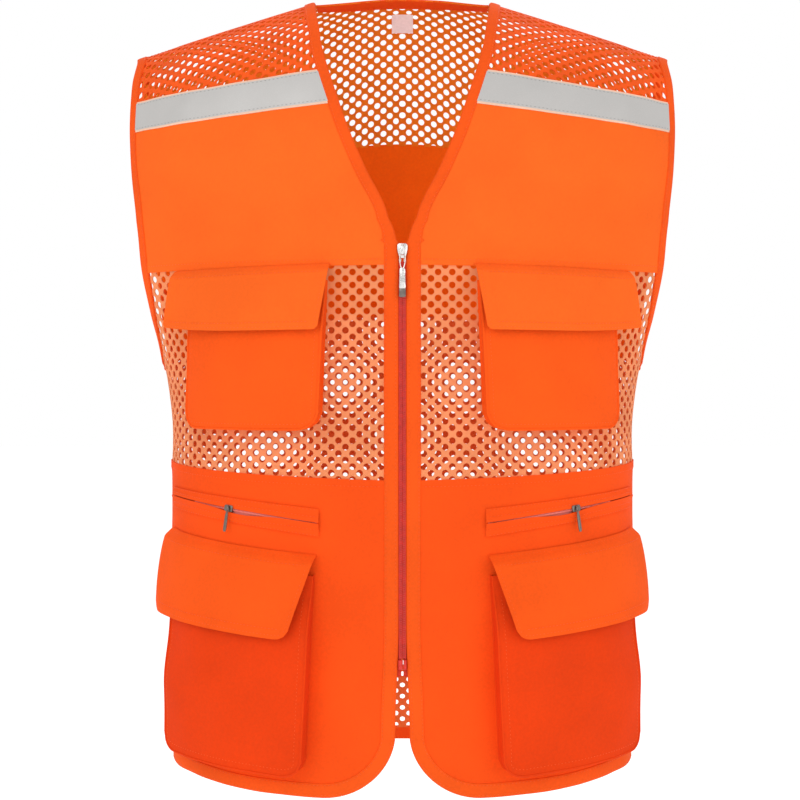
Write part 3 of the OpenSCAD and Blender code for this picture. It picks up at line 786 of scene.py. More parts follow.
# Red tape of the front zip; the same dark red also paints the shade inside the slanted slit.
RED_TAPE_AND_SHADE = twill("red_zip_tape", (0.6, 0.04, 0.02), rib=1200.0)
PINK_TAPE = twill("pink_zip_tape", (0.86, 0.24, 0.2), rib=1200.0)
NICKEL = metal("nickel", (0.72, 0.71, 0.69), 0.24)
GUNMETAL = metal("gunmetal", (0.2, 0.17, 0.15), 0.32)
LABEL = twill("label_satin", (0.95, 0.97, 0.97), rib=1400.0)
LOOPS = twill("loop_pile", (0.84, 0.13, 0.03), rib=500.0)

# ---------------------------------------------------------------- mesh panels
ZERO_LEVEL = -70


def other_seam_x(h):
    return -seam_x(h)


def build_front_meshes():
    patch = Patch(FRONT, flat(-0.05), lambda s: tape_top(s) - 8, opening_x, seam_x)
    yoke = perforated(patch, Flattened(FRONT, -135, -0.05, ZERO_LEVEL), off=-0.2)
    look, size = [YOKE_KNIT], cut_size(patch)
    pair("yoke_fabric", [yoke], look, bend_at_shoulder, "mesh", "yoke_mesh")
    patch = Patch(FRONT, lambda s: chest_seam(s) + 4, lambda s: waist_seam(s) - 4, opening_x, seam_x)
    panel = perforated(patch, Flattened(FRONT, -428, -232), off=-0.6)
    look, size = [FRONT_KNIT_SHEEN], cut_size(patch)
    pair("front_mesh_fabric", [panel], look, bend_at_side, "mesh", "front_mesh")


def build_back_meshes():
    reach = angle_of(238.0, 0.0)
    shoulder_x = lambda s: half_width(0.0) * signed_power(sine(mix(-reach, reach, s)), 2 / LATERAL_POWER)
    patch = Patch(BACK, lambda s: back_neck_h(shoulder_x(s)), back_band_top, other_seam_x, seam_x)
    yoke = perforated(patch, Flattened(BACK, -182, -0.05, ZERO_LEVEL), off=-0.4)
    piece = make("back_yoke_fabric", [yoke], [BACK_KNIT])
    place(piece, "back", "mesh", "back_yoke_mesh")
    cut_size(patch)
    patch = Patch(BACK, back_band_bottom, lambda s: back_hem(s) + 11, other_seam_x, seam_x)
    panel = perforated(patch, Flattened(BACK, BACK_HEM_H, -270), 8, LOW_HOLE_RADIUS, off=-0.6)
    piece = make("back_lower_fabric", [panel], [LOW_KNIT_LIT])
    place(piece, "back", "mesh", "back_lower_mesh")
    cut_size(patch)


# ---------------------------------------------------------------- solid panels
def fold(near, width=0.05, height=0.45):
    """A turned-under edge: the cloth is double up to a stitched line. near is 0 at the edge."""
    return height * (1 - ease((near - width) / (0.25 * width)))


def build_chest_panels():
    patch = Patch(FRONT, lambda s: tape_top(s) - 14, lambda s: chest_seam(s) - 1, opening_x, seam_x)
    body = cloth(patch, 90, 60, 1.0, 0, lambda s, v: fold(1 - v, 0.06) * between_bindings(s))
    seam = stitch_on(patch, mix(0.03, 0.98, T), 0.955, 0.98)
    look, size = [ORANGE, THREAD], cut_size(patch)
    pair("chest_cloth", [body, seam], look, bend_at_shoulder, "twill", "chest_panel")


def build_lower_panels():
    patch = Patch(FRONT, lambda s: waist_seam(s) + 1, front_hem, opening_x, seam_x)
    even = np.linspace(0, 1, 121)
    s, v = np.meshgrid(mix(even, (1 - np.cos(math.pi * even)) / 2, 0.5), even)
    raised = (fold(v, 0.025) + fold(1 - v, 0.03)) * between_bindings(s)
    body = shell(patch.point(s, v, 0.5 + raised), patch.point(s, v, -0.5))
    rows = [stitch_on(patch, mix(first, 0.99, T), v, 0.95) for first, v in ((0.03, 0.022), (0.05, 0.972))]
    look, size = [DEEP_ORANGE, THREAD], cut_size(patch)
    pair("lower_cloth", [body, *rows], look, bend_at_side, "twill", "lower_panel")


def build_back_panels():
    top, bottom = (lambda s: back_band_top(s) + 1), (lambda s: back_band_bottom(s) - 1)
    band = Patch(BACK, top, bottom, other_seam_x, seam_x)
    hems = lambda s, v: (fold(v, 0.05) + fold(1 - v, 0.05)) * between_bindings(s, 0.02, 0.98)
    body = cloth(band, 150, 60, 1.0, 0, hems)
    rows = [stitch_on(band, mix(0.02, 0.98, T), v, 0.95) for v in (0.045, 0.955)]
    piece = make("back_band_cloth", [body, *rows], [LIT_BAND_ORANGE, THREAD])
    place(piece, "back", "twill", "back_band_panel")
    cut_size(band)
    hem = Patch(BACK, lambda s: back_hem(s) + 12.4, back_hem, other_seam_x, seam_x)
    body = cloth(hem, 150, 6, 1.8)
    row = stitch_on(hem, mix(0.01, 0.99, T), 0.12, 0.95)
    piece = make("back_hem_cloth", [body, row], [DEEP_ORANGE, THREAD])
    place(piece, "back", "twill", "back_hem_band")
    cut_size(hem)


# ---------------------------------------------------------------- bindings
BINDING_SECTION = np.array(
    [(9, 0.5), (8.7, 1.2), (6, 1.5), (3, 1.55), (1, 1.35), (0.1, 0.8), (-0.25, 0)]
    + [(0.1, -0.8), (1, -1.35), (3, -1.55), (6, -1.5), (8.7, -1.2), (9, -0.5)]
)
BINDING_TOP, ROW_INSET = 1.5, 1.5


def neck_strip(hs, widths):
    """A folded tape wrapped round the neck edge, with its stitching."""
    u, off = BINDING_SECTION.T
    x = opening_x(hs)[:, None] + u * widths[:, None]
    h = np.broadcast_to(hs[:, None], x.shape)
    tucked = mix(1, 0.85, ease((-hs - 232) / 2))[:, None]
    row = angle_of(opening_x(hs) + (BINDING_W - ROW_INSET) * widths, hs)
    return [loft(at(FRONT, angle_of(x, h), h, off * tucked)), stitch_line(FRONT, row, hs, BINDING_TOP)]


def arm_strip(side, hs, widths):
    """A folded tape wrapped round the armhole, with its stitching."""
    u, off = BINDING_SECTION.T
    edge = angle_of(seam_x(hs), hs)
    degrees = widths / turn_at(side, edge, hs)
    a = edge[:, None] - u * degrees[:, None]
    tape = loft(at(side, a, np.broadcast_to(hs[:, None], a.shape), off))
    return [tape, stitch_line(side, edge - (BINDING_W - ROW_INSET) * degrees, hs, BINDING_TOP)]


def front_edge():
    """The edge of a front in (x, h): down the placket, round the corner and along the hem."""
    down = np.linspace(ZIP_TOP, front_hem(0.0), 180)
    corner = HEM_LOW_X - (HEM_LOW_X - HEM_INNER) * np.cos(np.radians(np.linspace(1, 90, 60)))
    x = np.concatenate([corner, np.linspace(HEM_LOW_X + 2, HEM_HALF - 0.5, 90)])
    hem = front_hem(np.degrees(np.arcsin((x / HEM_HALF) ** (LATERAL_POWER / 2))) / 90)
    along = np.column_stack([np.minimum(x, half_width(hem) * 0.9999), hem])
    return np.concatenate([np.column_stack([opening_x(down), down]), along])


def facing_strip():
    """The placket's facing, which carries on as the hem, with two rows of stitching."""
    path = front_edge()
    along = np.gradient(path, axis=0)
    along /= np.linalg.norm(along, axis=1, keepdims=True)
    inwards = np.column_stack([-along[:, 1], along[:, 0]])
    u, off = BINDING_SECTION.T
    spots = path[:, None] + inwards[:, None] * u[None, :, None] * PLACKET_W / BINDING_W
    x, h = spots[..., 0], spots[..., 1]
    chunks = [loft(at(FRONT, angle_of(x, h), h, off))]
    for inset in (2.2, PLACKET_W - 1.6):
        x, h = (path + inwards * inset).T
        chunks.append(stitch_line(FRONT, angle_of(x, h), h, 1.52))
    return chunks


def build_front_bindings():
    hs = np.concatenate([np.linspace(-0.3, -200, 120), np.linspace(-202, -243, 28)])
    points = torso(FRONT, angle_of(opening_x(hs), hs), hs)
    slope = np.gradient(points[:, 0]) / np.gradient(points[:, 2])
    widths = np.sqrt(1 + np.clip(slope, -1, 1) ** 2) * mix(1, PLACKET_W / BINDING_W, ease((-hs - 200) / 30))
    edges = [*neck_strip(hs, widths), *facing_strip()]
    look = [BIND_ORANGE, THREAD]
    pair("front_edge_binding", edges, look, bend_at_shoulder, "binding", "front_binding")
    arm_h = np.linspace(-0.3, ARMPIT_H, 200)
    taper = mix(1, 0.35, ease((-arm_h - 300) / 30))
    arm = arm_strip(FRONT, arm_h, taper)
    pair("armhole_edge_binding", arm, look, bend_at_shoulder, "binding", "armhole_binding")
    arm = arm_strip(BACK, arm_h, taper)
    pair("back_armhole_edge", arm, look, on_back, "binding", "back_armhole_binding")


def build_neck_binding():
    x = np.linspace(-NECK_HALF + 0.5, NECK_HALF - 0.5, 120)
    u, off = BINDING_SECTION.T
    h = back_neck_h(x)[:, None] - u * COLLAR_WIDEN
    chunks = [loft(at(BACK, angle_of(np.broadcast_to(x[:, None], h.shape), h), h, off))]
    for inset, lift in ((2, BINDING_TOP), (BINDING_W - 1.2, -BINDING_TOP)):
        row_h = back_neck_h(x) - inset * COLLAR_WIDEN
        up = outward(BACK, angle_of(x, row_h), row_h)
        chunks.append(stitches(at(BACK, angle_of(x, row_h), row_h, lift), up * np.sign(lift)))
    piece = make("back_neck_edge_binding", chunks, [BIND_ORANGE, THREAD])
    place(piece, "back", "binding", "back_neck_binding")


def build_joining_seams():
    """The stitched ridges where the fronts and the back meet, over the shoulders and down the sides."""
    x = np.linspace(NECK_HALF + 2, 236, 80)
    ridge = torso(FRONT, angle_of(x, 0.0), np.full_like(x, -0.01))
    up = np.broadcast_to((0.0, 0.0, 1.0), ridge.shape)
    cord = cord_along(ridge + (0, 0, 0.4), up, 7, 1.6, around=12)
    rows = [stitches(ridge + (0, y, 1.1), up) for y in (-2, 2)]
    pair("shoulder_seam", [cord, *rows], [BIND_ORANGE, THREAD], on_back, "binding", None)
    h = np.linspace(ARMPIT_H + 0.5, back_hem(1.0) + 0.5, 120)
    line = np.column_stack([half_width(h) - 0.3, np.zeros(120), h])
    out = np.broadcast_to((1.0, 0.0, 0.0), line.shape)
    cord = cord_along(line, out, 8, 1.5, around=12)
    rows = [stitches(line + (0.8, y, 0), out) for y in (-2.4, 2.4)]
    pair("side_seam", [cord, *rows], [LOW_KNIT_LIT, THREAD], on_back, "binding", None)


# ---------------------------------------------------------------- reflective tape and label
TAPE_OFF, EDGING_SHARE = 0.85, 0.055
BACK_TAPE_TOP, BACK_TAPE_BOTTOM, BACK_TAPE_OFF = -178, -208, 1.2
LABEL_TOP, LABEL_BOTTOM, LABEL_HALF, LABEL_OFF = -54, -80, 10, -2.8
TAPE_PITCH = 3.6


def build_front_tapes():
    """Each tape is a reflective strip between two narrow edgings."""
    inner = lambda h: opening_x(h) + BINDING_W - 2
    outer = lambda h: inside_arm(FRONT, h, BINDING_W - 1)
    across = lambda v: lambda s: mix(tape_top(s), tape_bottom(s), v)
    strip = lambda v0, v1, lift: Patch(FRONT, across(v0), across(v1), inner, outer, flat(TAPE_OFF + lift))
    chunks = [
        cloth(strip(0.0, EDGING_SHARE, 0.0), 90, 2, 0.5, 1),
        cloth(strip(EDGING_SHARE, 1 - EDGING_SHARE, 0.15), 90, 16, 0.5, 0),
        cloth(strip(1 - EDGING_SHARE, 1.0, 0.0), 90, 2, 0.5, 1),
    ]
    tape = Patch(FRONT, tape_top, tape_bottom, inner, outer, flat(TAPE_OFF))
    chunks += [stitch_on(tape, mix(0.01, 0.99, T), v, 0.45, 2, TAPE_PITCH) for v in (0.1, 0.9)]
    look, size = [TAPE, EDGING, GREY_THREAD], cut_size(tape)
    pair("tape", chunks, look, bend_at_shoulder, "reflective", "reflective_tape")


def build_back_tape():
    this_side = lambda h: inside_arm(BACK, h, BINDING_W - 1)
    other_side = lambda h: -this_side(h)
    edges = flat(BACK_TAPE_TOP), flat(BACK_TAPE_BOTTOM), other_side, this_side
    across = Patch(BACK, *edges, flat(BACK_TAPE_OFF))
    rows = [stitch_on(across, mix(0.005, 0.995, T), v, 0.3, 1, TAPE_PITCH) for v in (0.08, 0.92)]
    piece = make("back_tape", [cloth(across, 150, 14, 0.5), *rows], [TAPE, GREY_THREAD])
    place(piece, "back", "reflective", "back_reflective_tape")
    cut_size(across)


def build_label():
    edges = flat(LABEL_TOP), flat(LABEL_BOTTOM), flat(-LABEL_HALF), flat(LABEL_HALF)
    sag = lambda s, v: -0.5 * np.sin(v * math.pi)
    piece = make("blank_label", [cloth(Patch(BACK, *edges, flat(LABEL_OFF)), 20, 14, 0.5, 0, sag)], [LABEL])
    place(piece, "back", "label", "neck_label")


# ---------------------------------------------------------------- front zip
ZIP_TOP, ZIP_BOTTOM = -234, -570
TOOTH_PITCH = 1.5


def rounded_box(low, high, bevel=0.3, material=0):
    """A box with chamfered corners, as rings along z."""
    (x0, y0, z0), (x1, y1, z1) = low, high
    xs = (x0 + bevel, x1 - bevel, x1, x1, x1 - bevel, x0 + bevel, x0, x0)
    ys = (y0, y0, y0 + bevel, y1 - bevel, y1, y1, y1 - bevel, y0 + bevel)
    outline = np.column_stack([xs, ys])
    middle = np.array([x0 + x1, y0 + y1]) / 2
    size = np.array([x1 - x0, y1 - y0])

    def ring(shrink, z):
        return np.column_stack([(outline - middle) * (1 - 2 * shrink / size) + middle, np.full(8, z)])

    rings = [ring(bevel, z0), ring(0, z0 + bevel), ring(0, z1 - bevel), ring(bevel, z1)]
    return loft(np.array(rings), material)


def zip_block(x, y, z, bevel, material=0):
    """A block of the zip, from its (low, high) along each axis, with y measured from the chain's middle."""
    low, high = np.transpose([x, y, z]) - (0, FRONT_DEPTH, 0)
    return rounded_box(low, high, bevel, material)


TOOTH_CORNERS = (
    (-1, 0, 0), (-0.6, 0.7, 0.8), (0.6, 0.9, 0.8), (1, 0, 0), (0.6, 0.9, -0.8), (-0.6, 0.7, -0.8),
    (-0.6, -0.7, 0.8), (0.6, -0.9, 0.8), (0.6, -0.9, -0.8), (-0.6, -0.7, -0.8),
)
TOOTH_FACES = np.array(
    [(1, 2, 4, 5), (6, 9, 8, 7), (1, 6, 7, 2), (5, 4, 8, 9), (0, 6, 1, 1), (0, 1, 5, 5), (0, 5, 9, 9)]
    + [(0, 9, 6, 6), (3, 2, 7, 7), (3, 4, 2, 2), (3, 8, 4, 4), (3, 7, 8, 8)]
)


def teeth(centres, along, across, up, size):
    """Rounded teeth at centres. The directions are unit vectors, or arrays with one for each tooth."""
    length, height, thick = np.array(size) / 2
    corners = [
        centres + u * length * across + w * height * up + t * thick * along for u, w, t in TOOTH_CORNERS
    ]
    every = np.arange(len(centres))[:, None, None] * len(TOOTH_CORNERS) + TOOTH_FACES
    return np.stack(corners, axis=1).reshape(-1, 3), every.reshape(-1, 4), 0


def build_front_zip():
    x_axis, y_axis, z_axis = np.eye(3)
    chain_top = ZIP_TOP - 3
    count = int((chain_top - ZIP_BOTTOM) / TOOTH_PITCH)
    along = (ZIP_BOTTOM, chain_top)
    spine = zip_block((2.3, 3.1), (-0.9, 1.1), along, 0.25)
    web = zip_block((0.03, 3.1), (0.5, 1.1), along, 0.1)
    stop = zip_block((0.95, 3.1), (-1.2, 1.1), (ZIP_TOP - 2.8, ZIP_TOP), 0.3, 1)
    for name, mirrored in SIDES:
        shift = 0.0 if mirrored else TOOTH_PITCH / 2
        start = np.array([1.3, -FRONT_DEPTH, ZIP_BOTTOM + 1 + shift])
        centres = start + np.arange(count)[:, None] * TOOTH_PITCH * z_axis
        coil = teeth(centres, z_axis, x_axis, y_axis, (3.6, 2.3, 1.25))
        piece = make(f"{name}_chain", [coil, spine, web, stop], [RED_COIL, NICKEL], mirrored, sharp=30)
        place(piece, f"{name}_front", "zip_red", f"{name}_zip_coil")
    tape = zip_block((0.9, 12.9), (1.25, 1.8), (ZIP_BOTTOM - 15, ZIP_TOP), 0.1)
    pair("zip_ribbon", [tape], [RED_TAPE_AND_SHADE], on_front, "zip_red", "zip_tape")
    low_z, high_z = ZIP_BOTTOM - 9, ZIP_BOTTOM - 0.4
    box = zip_block((-3.6, 0.4), (-2.4, 1.0), (low_z, high_z), 0.7)
    ridge = zip_block((-3.2, 0.1), (-2.7, -2.2), (low_z + 3, low_z + 4), 0.2)
    piece = make("zip_box", [box, ridge], [RED_COIL])
    place(piece, "right_front", "zip_red", "zip_retainer_box")
    pin = zip_block((0.9, 3.6), (-2.4, 1.0), (low_z, high_z), 0.6)
    piece = make("zip_pin", [pin], [RED_COIL])
    place(piece, "left_front", "zip_red", "zip_insertion_pin")


def plate_rings(half_low, half_high, length, thick, y):
    """A shield-shaped plate, lofted through its thickness, standing in the XZ plane."""
    z = np.concatenate([np.linspace(0, length, 14), np.linspace(length, 0, 14)])
    t = z / length
    half = mix(half_low, half_high, ease(t * 1.4)) * np.sqrt(np.clip(1 - ((t - 0.5) / 0.53) ** 8, 0, 1))
    half[14:] *= -1
    middle = length / 2

    def ring(scale, depth):
        return np.column_stack([half * scale, np.full(28, depth), (z - middle) * scale + middle])

    return np.array([ring(0.9, y), ring(1.0, y + 0.25), ring(1.0, y + thick - 0.25), ring(0.9, y + thick)])


CHAIN_HALF, PLATE_T, PLATE_GAP, ZIP_TAPE_T, REAR_GAP = 1.2, 1.1, 1.1, 0.6, 0.5
SLIDER_LENGTH, PULL_STEM, PULL_TIP = 12, 34.5, 41
SLIDER_LOW = ZIP_TOP + 0.5
SLIDER_FRONT = -FRONT_DEPTH - CHAIN_HALF - PLATE_GAP - PLATE_T


def plate(half_low, half_high, length, thick, y, shift, material=0):
    """A shield-shaped plate, moved by shift."""
    points, faces, _ = loft(plate_rings(half_low, half_high, length, thick, y))
    return points + shift, faces, material


def build_slider():
    """Slider plates, neck and bridge."""
    rear_y = -FRONT_DEPTH + CHAIN_HALF + ZIP_TAPE_T + REAR_GAP
    shift = np.array([0, 0, SLIDER_LOW])
    plates = [plate(2.9, 4.3, SLIDER_LENGTH, PLATE_T, y, shift) for y in (SLIDER_FRONT, rear_y)]
    low, high = (-0.5, SLIDER_FRONT + 0.3, SLIDER_LOW + 8), (0.5, rear_y + 0.8, SLIDER_LOW + 11.6)
    t = np.linspace(0, math.pi, 18)
    rise, along = SLIDER_FRONT - 2.4 * np.sin(t) ** 0.6, SLIDER_LOW + 6.6 - 4.2 * np.cos(t)
    bridge = np.column_stack([np.zeros(18), rise, along])
    side = np.broadcast_to((1.0, 0.0, 0.0), bridge.shape)
    arch = cord_along(bridge, np.cross(side, frames_along(bridge)), 2.6, 0.9, around=10)
    piece = make("zip_slider_body", [*plates, rounded_box(low, high, 0.15), arch], [NICKEL])
    place(piece, "slider", "nickel", "zip_slider")


def build_pull():
    """The pull: a link round the bridge, the tab and its tip."""
    bail = np.array([0, SLIDER_FRONT - 1.9, SLIDER_LOW + 8])
    t = np.linspace(0, 2 * math.pi, 28)
    path = np.column_stack([2.3 * np.sin(t), np.zeros(28), -8.2 + 9.0 * np.cos(t)])
    face = np.broadcast_to((0.0, -1.0, 0.0), path.shape)
    ring = cord_along(path + bail, face, 1.0, 1.0, around=8)
    tab = plate(2.8, 2.5, 18, 1.2, -0.6, bail + (0, 0, -PULL_STEM))
    tip = plate(2.9, 2.8, 7.5, 1.5, -0.75, bail + (0, 0, -PULL_TIP), 1)
    piece = make("zip_pull", [ring, tab, tip], [NICKEL, GUNMETAL])
    place(piece, "pull", "nickel", "zip_pull_tab")


# ---------------------------------------------------------------- box pockets and flaps
POCKET_DEEP, POCKET_MOUTH, POCKET_CORNER = 20, 8, 14


def rounded_bottom(low, width, s, radius=POCKET_CORNER):
    r = radius / width
    c = np.clip(np.maximum(1 - s / r, 1 - (1 - s) / r), 0, 1)
    return low + radius * (1 - np.sqrt(1 - c * c))


class Pocket:
    """The sizes that a pocket's face, gusset, flap and fasteners share, in the CAD model's terms."""

    def __init__(self, kind, shallow, top, bottom, inner, outer, grow, bulge, flap):
        self.kind, self.grow, self.shallow, self.bulge = kind, grow, shallow, bulge
        self.top, self.bottom, self.inner, self.outer = top, bottom, inner, outer
        self.flap_top, self.flap_bottom, self.flap_inner, self.flap_outer, self.ends = flap

    def depth(self, s, v):
        full = mix(POCKET_DEEP, self.shallow, s)
        slack = self.bulge * ease((v - 0.25) / 0.5) * s * s
        return mix(POCKET_MOUTH, full, ease(v * self.grow)) + slack

    def face(self):
        """The face sags a little towards its lower half and is crowned between its edges."""
        def low(s, v):
            crown = 1.6 * np.sin(math.pi * np.clip(s, 0, 1)) ** 0.7 * ease(v * 2) * ease((1 - v) * 5)
            slump = 0.7 * ripple(s * 110, v * 130, 60, len(self.kind)) * ease(v * 3) * ease((1 - v) * 6)
            return self.depth(s, v) + crown + slump * np.sin(math.pi * s) ** 0.5
        return Patch(FRONT, self.top, self.bottom, self.inner, self.outer, low)

    def foot(self):
        return Patch(FRONT, self.top, self.bottom, self.inner, self.outer, flat(0.0))

    def flap(self):
        def low(s, v):
            rise = (mix(POCKET_DEEP, self.shallow, s) + 4) * np.maximum(v, 1e-6) ** 0.55
            belly = 0.5 * np.sin(math.pi * v) * ripple(s * 130, v * 60, 80, 5 + len(self.kind))
            ends = 0.4 * self.ends * (2 * s - 1) ** 2 * (1 - v) * ease(v * 5)
            return mix(1.7, 2.9, ease(v * 12)) + rise * mix(0.3, 1, ease(v * 9)) + ends + belly
        return Patch(FRONT, self.flap_top, self.flap_bottom, self.flap_inner, self.flap_outer, low)


CHEST = Pocket(
    "chest", 13, flat(-252), lambda s: rounded_bottom(-377, 110, s),
    lambda h: mix(64, 69, (-h - 252) / 125), lambda h: mix(174, 177, (-h - 252) / 125), 2.5, 0,
    (
        lambda s: mix(-237.8, -243.8, s), lambda s: rounded_bottom(mix(-293, -287, s**3), 120, s, 3),
        lambda h: mix(61, 68, (-h - 239) / 53), lambda h: mix(194, 192, (-h - 239) / 53), 2,
    ),
)
CARGO = Pocket(
    "cargo", 10, lambda s: mix(-500, -484, s), lambda s: rounded_bottom(mix(-668, -655, s), 125, s),
    lambda h: mix(74, 82, (-h - 497) / 170), lambda h: np.full(np.shape(h), 191.0), 2.8, 7,
    (
        lambda s: mix(-483, -467, s), lambda s: rounded_bottom(mix(-552, -538, s), 130, s, 8),
        lambda h: mix(72, 92, (-h - 483) / 69), lambda h: np.full(np.shape(h), 199.0), 5,
    ),
)


def rim_path(count=60):
    """(s, v) down the inner side, along the bottom and up the outer side."""
    u = np.linspace(0, 1, count)
    s = np.concatenate([np.zeros(count), u, np.ones(count)])
    v = np.concatenate([u, np.ones(count), 1 - u])
    keep = np.concatenate([[True], (np.diff(s) != 0) | (np.diff(v) != 0)])
    return s[keep], v[keep]


def gusset(pocket, face):
    """The side wall, with a soft crease half way out and its edges sewn in."""
    s, v = rim_path()
    foot = pocket.foot()
    base, top = foot.point(s, v, 0.9), face.point(s, v, -0.2)
    centre = foot.point(0.5, 0.5, 8.0)
    inwards = centre - base
    inwards /= np.linalg.norm(inwards, axis=1, keepdims=True)
    t = np.linspace(0, 1, 9)[:, None, None]
    run = np.arange(len(s)) * 2.4
    crease = 1.5 * np.sin(math.pi * t) * (0.7 + 0.5 * ripple(run, 0 * run, 45, 21)[None, :, None])
    wall = base[None] + (top - base)[None] * t + crease * inwards[None]
    return shell(wall, wall + 0.9 * inwards[None])


def flap_chunks(flap):
    """A flap's cloth, its seam's ridge and turned edges, and six rows of stitching."""
    ridge = lambda s, v: 0.6 * (1 - ease((v - 0.12) / 0.05)) * ease(v / 0.03)
    turned = lambda s, v: 0.35 * (1 - ease((np.minimum(np.minimum(s, 1 - s) * 2.2, 1 - v) - 0.1) / 0.04))
    chunks = [cloth(flap, 80, 34, 1.0, 0, lambda s, v: ridge(s, v) + turned(s, v))]
    for inset, v, off in ((0.02, 0.03, 1.0), (0.02, 0.12, 1.35), (0.03, 0.955, 0.85), (0.05, 0.88, 0.85)):
        chunks.append(stitch_on(flap, mix(inset, 1 - inset, T), v, off))
    chunks += [stitch_on(flap, s, mix(0.16, 0.95, T), 0.85) for s in (0.018, 0.982)]
    return chunks


def bend_at_flap_seam(pocket):
    """A hanger for a flap that hides its CAD part and bakes the piece's transform."""
    ends = pocket.flap().point(np.array([0.0, 1.0]), 0.0)

    def hang(obj, name, slot, *nodes):
        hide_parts(*nodes)
        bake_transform(obj)

    return hang


def part_of(patch, across, down, lift):
    """A smaller patch lying on another, between shares of its width and of its length."""
    row = lambda share: lambda s: mix(patch.top(s), patch.bottom(0.5), share)
    column = lambda share: lambda h: mix(patch.inner(h), patch.outer(h), share)
    low = lambda s, v: patch.low(mix(*across, s), mix(*down, v)) + lift
    return Patch(patch.side, *map(row, down), *map(column, across), low)


def pocket_front(face):
    """A pocket's face with its hem, the piping round its edge and two rows of stitching."""
    s, v = rim_path()
    edge = face.point(s, v, 0.5)
    return [
        cloth(face, 70, 70, 1.0, 0, lambda s, v: 0.5 * (1 - ease((v - 0.09) / 0.02))),
        cord_along(edge, face.point(s, v, 1.5) - edge, 1.9, 1.5),
        stitch_on(face, mix(0.03, 0.97, T), 0.075, 0.95),
        stitch_on(face, mix(0.035, 0.965, s), mix(0.02, 0.965, v), 0.5),
    ]


def build_pocket(pocket, face_colour, flap_colour):
    """A box pocket and its flap, sewn to a panel of the front."""
    kind, face, foot, flap = pocket.kind, pocket.face(), pocket.foot(), pocket.flap()
    look, gusset_node = [face_colour, THREAD], f"{kind}_pocket_gusset"
    size = cut_size(face)
    chunks = pocket_front(face)
    pair(f"{kind}_pocket_front", chunks, look, on_front, "pocket", f"{kind}_pocket_face")
    s, v = rim_path()
    base = foot.point(s, v, 0.9)
    welt = cord_along(base, foot.point(s, v, 1.9) - base, 2.4, 1.2)
    rim = np.linalg.norm(np.diff(face.point(s, v, 0.5), axis=0), axis=1).sum()
    size = (rim * MM, (POCKET_DEEP + 1) * MM)
    chunks = [gusset(pocket, face), welt]
    pair(f"{kind}_pocket_wall", chunks, look[:1], on_front, "pocket", gusset_node)
    look, size = [flap_colour, THREAD], cut_size(flap)
    bend = bend_at_flap_seam(pocket)
    pair(f"{kind}_flap_cloth", flap_chunks(flap), look, bend, "pocket", f"{kind}_flap")
    loops = cloth(part_of(face, (0.3, 0.7), (0.1, 0.24), 1.0), 24, 8, 0.9)
    pair(f"{kind}_loop_patch", [loops], [LOOPS], on_front, "hook_loop", "pocket_loops")
    hooks = cloth(part_of(flap, (0.3, 0.66), (0.58, 0.86), -0.8), 24, 6, 0.7)
    on_lid = riding("{}_" + f"{kind}_lid")
    pair(f"{kind}_hook_patch", [hooks], [LOOPS], on_lid, "hook_loop", f"flap_hooks_{kind}")


# ---------------------------------------------------------------- slanted zip pockets
SLANT_CENTRE, SLANT_R = (58.5, 70), 190.5
SLANT_FROM, SLANT_TO, SLANT_REST = -84, -50, -62
SLOT_W = 3.6
NECK_CORNERS = ((0.7, -0.3), (1.1, -0.3), (1.1, 0.3), (0.7, 0.3))


def slant_space(local):
    """From the slanted zip's own space, with z up its axis, to the torso's."""
    x, y, z = np.moveaxis(np.asarray(local, float), -1, 0)
    c, s = cosine(SLANT_TILT), sine(SLANT_TILT)
    origin = np.array([*SLANT_CENTRE, slant_h(SLANT_CENTRE[0])])
    return np.stack([x * c - z * s, y, x * s + z * c], -1) + origin


def on_arc(radius, degrees, z=0.0):
    radius, degrees, z = np.broadcast_arrays(radius, np.asarray(degrees, float), z)
    return slant_space(np.stack([radius * cosine(degrees), radius * sine(degrees), z], -1))


SLANT_FROM_X, SLANT_TO_X = 70.0, 199.0


def slant_x(s, x0=SLANT_FROM_X, x1=SLANT_TO_X):
    a = mix(angle_of(x0, SLANT_H), angle_of(x1, SLANT_H), s)
    return half_width(SLANT_H) * signed_power(sine(a), 2 / LATERAL_POWER)


def slant_strip(top_gap, bottom_gap, low, x0=SLANT_FROM_X, x1=SLANT_TO_X):
    """Cloth along the slit, from top_gap(x) above its line to bottom_gap(x)."""
    edge = lambda gap: lambda s: slant_h(slant_x(s, x0, x1)) + gap(slant_x(s, x0, x1))
    return Patch(FRONT, edge(top_gap), edge(bottom_gap), flat(x0), flat(x1), low)


def slant_welts():
    """The two lips of the slit with their stitching, the pink tape between them and, past x 144.5, a dark
    red strip of painted shade in the slit.
    """
    sag = lambda x: 3.2 * np.exp(-(((x - 136) / 21) ** 2))
    narrowing = lambda x: 12 - 5 * (x - 70) / 129
    upper = slant_strip(narrowing, flat(0.45), lambda s, v: 1.35 + 1.75 * ease(v * 1.2))
    lower = slant_strip(lambda x: -0.35 - sag(x), flat(-11.6), lambda s, v: mix(3.3, 1.35, ease(v * 1.3)))
    chunks = [cloth(upper, 90, 12, 0.8), cloth(lower, 90, 14, 0.8, 0, lambda s, v: 0.3 * np.exp(-v * 5))]
    for lip, v, off in ((upper, 0.1, 0.55), (upper, 0.6, 0.55), (lower, 0.5, 0.5), (lower, 0.92, 0.5)):
        chunks.append(stitch_on(lip, mix(0.01, 0.99, T), v, off))
    edges = flat(SLOT_W + 1), flat(-SLOT_W - 1), flat(0.62)
    chunks.append(cloth(slant_strip(*edges, x0=72.0, x1=144.0), 60, 4, 0.2, 2))
    # Past x 144.5 the strip is dark red: painted shade in the slit's gap.
    chunks.append(cloth(slant_strip(*edges, x0=144.5), 60, 4, 0.2, 3))
    return chunks


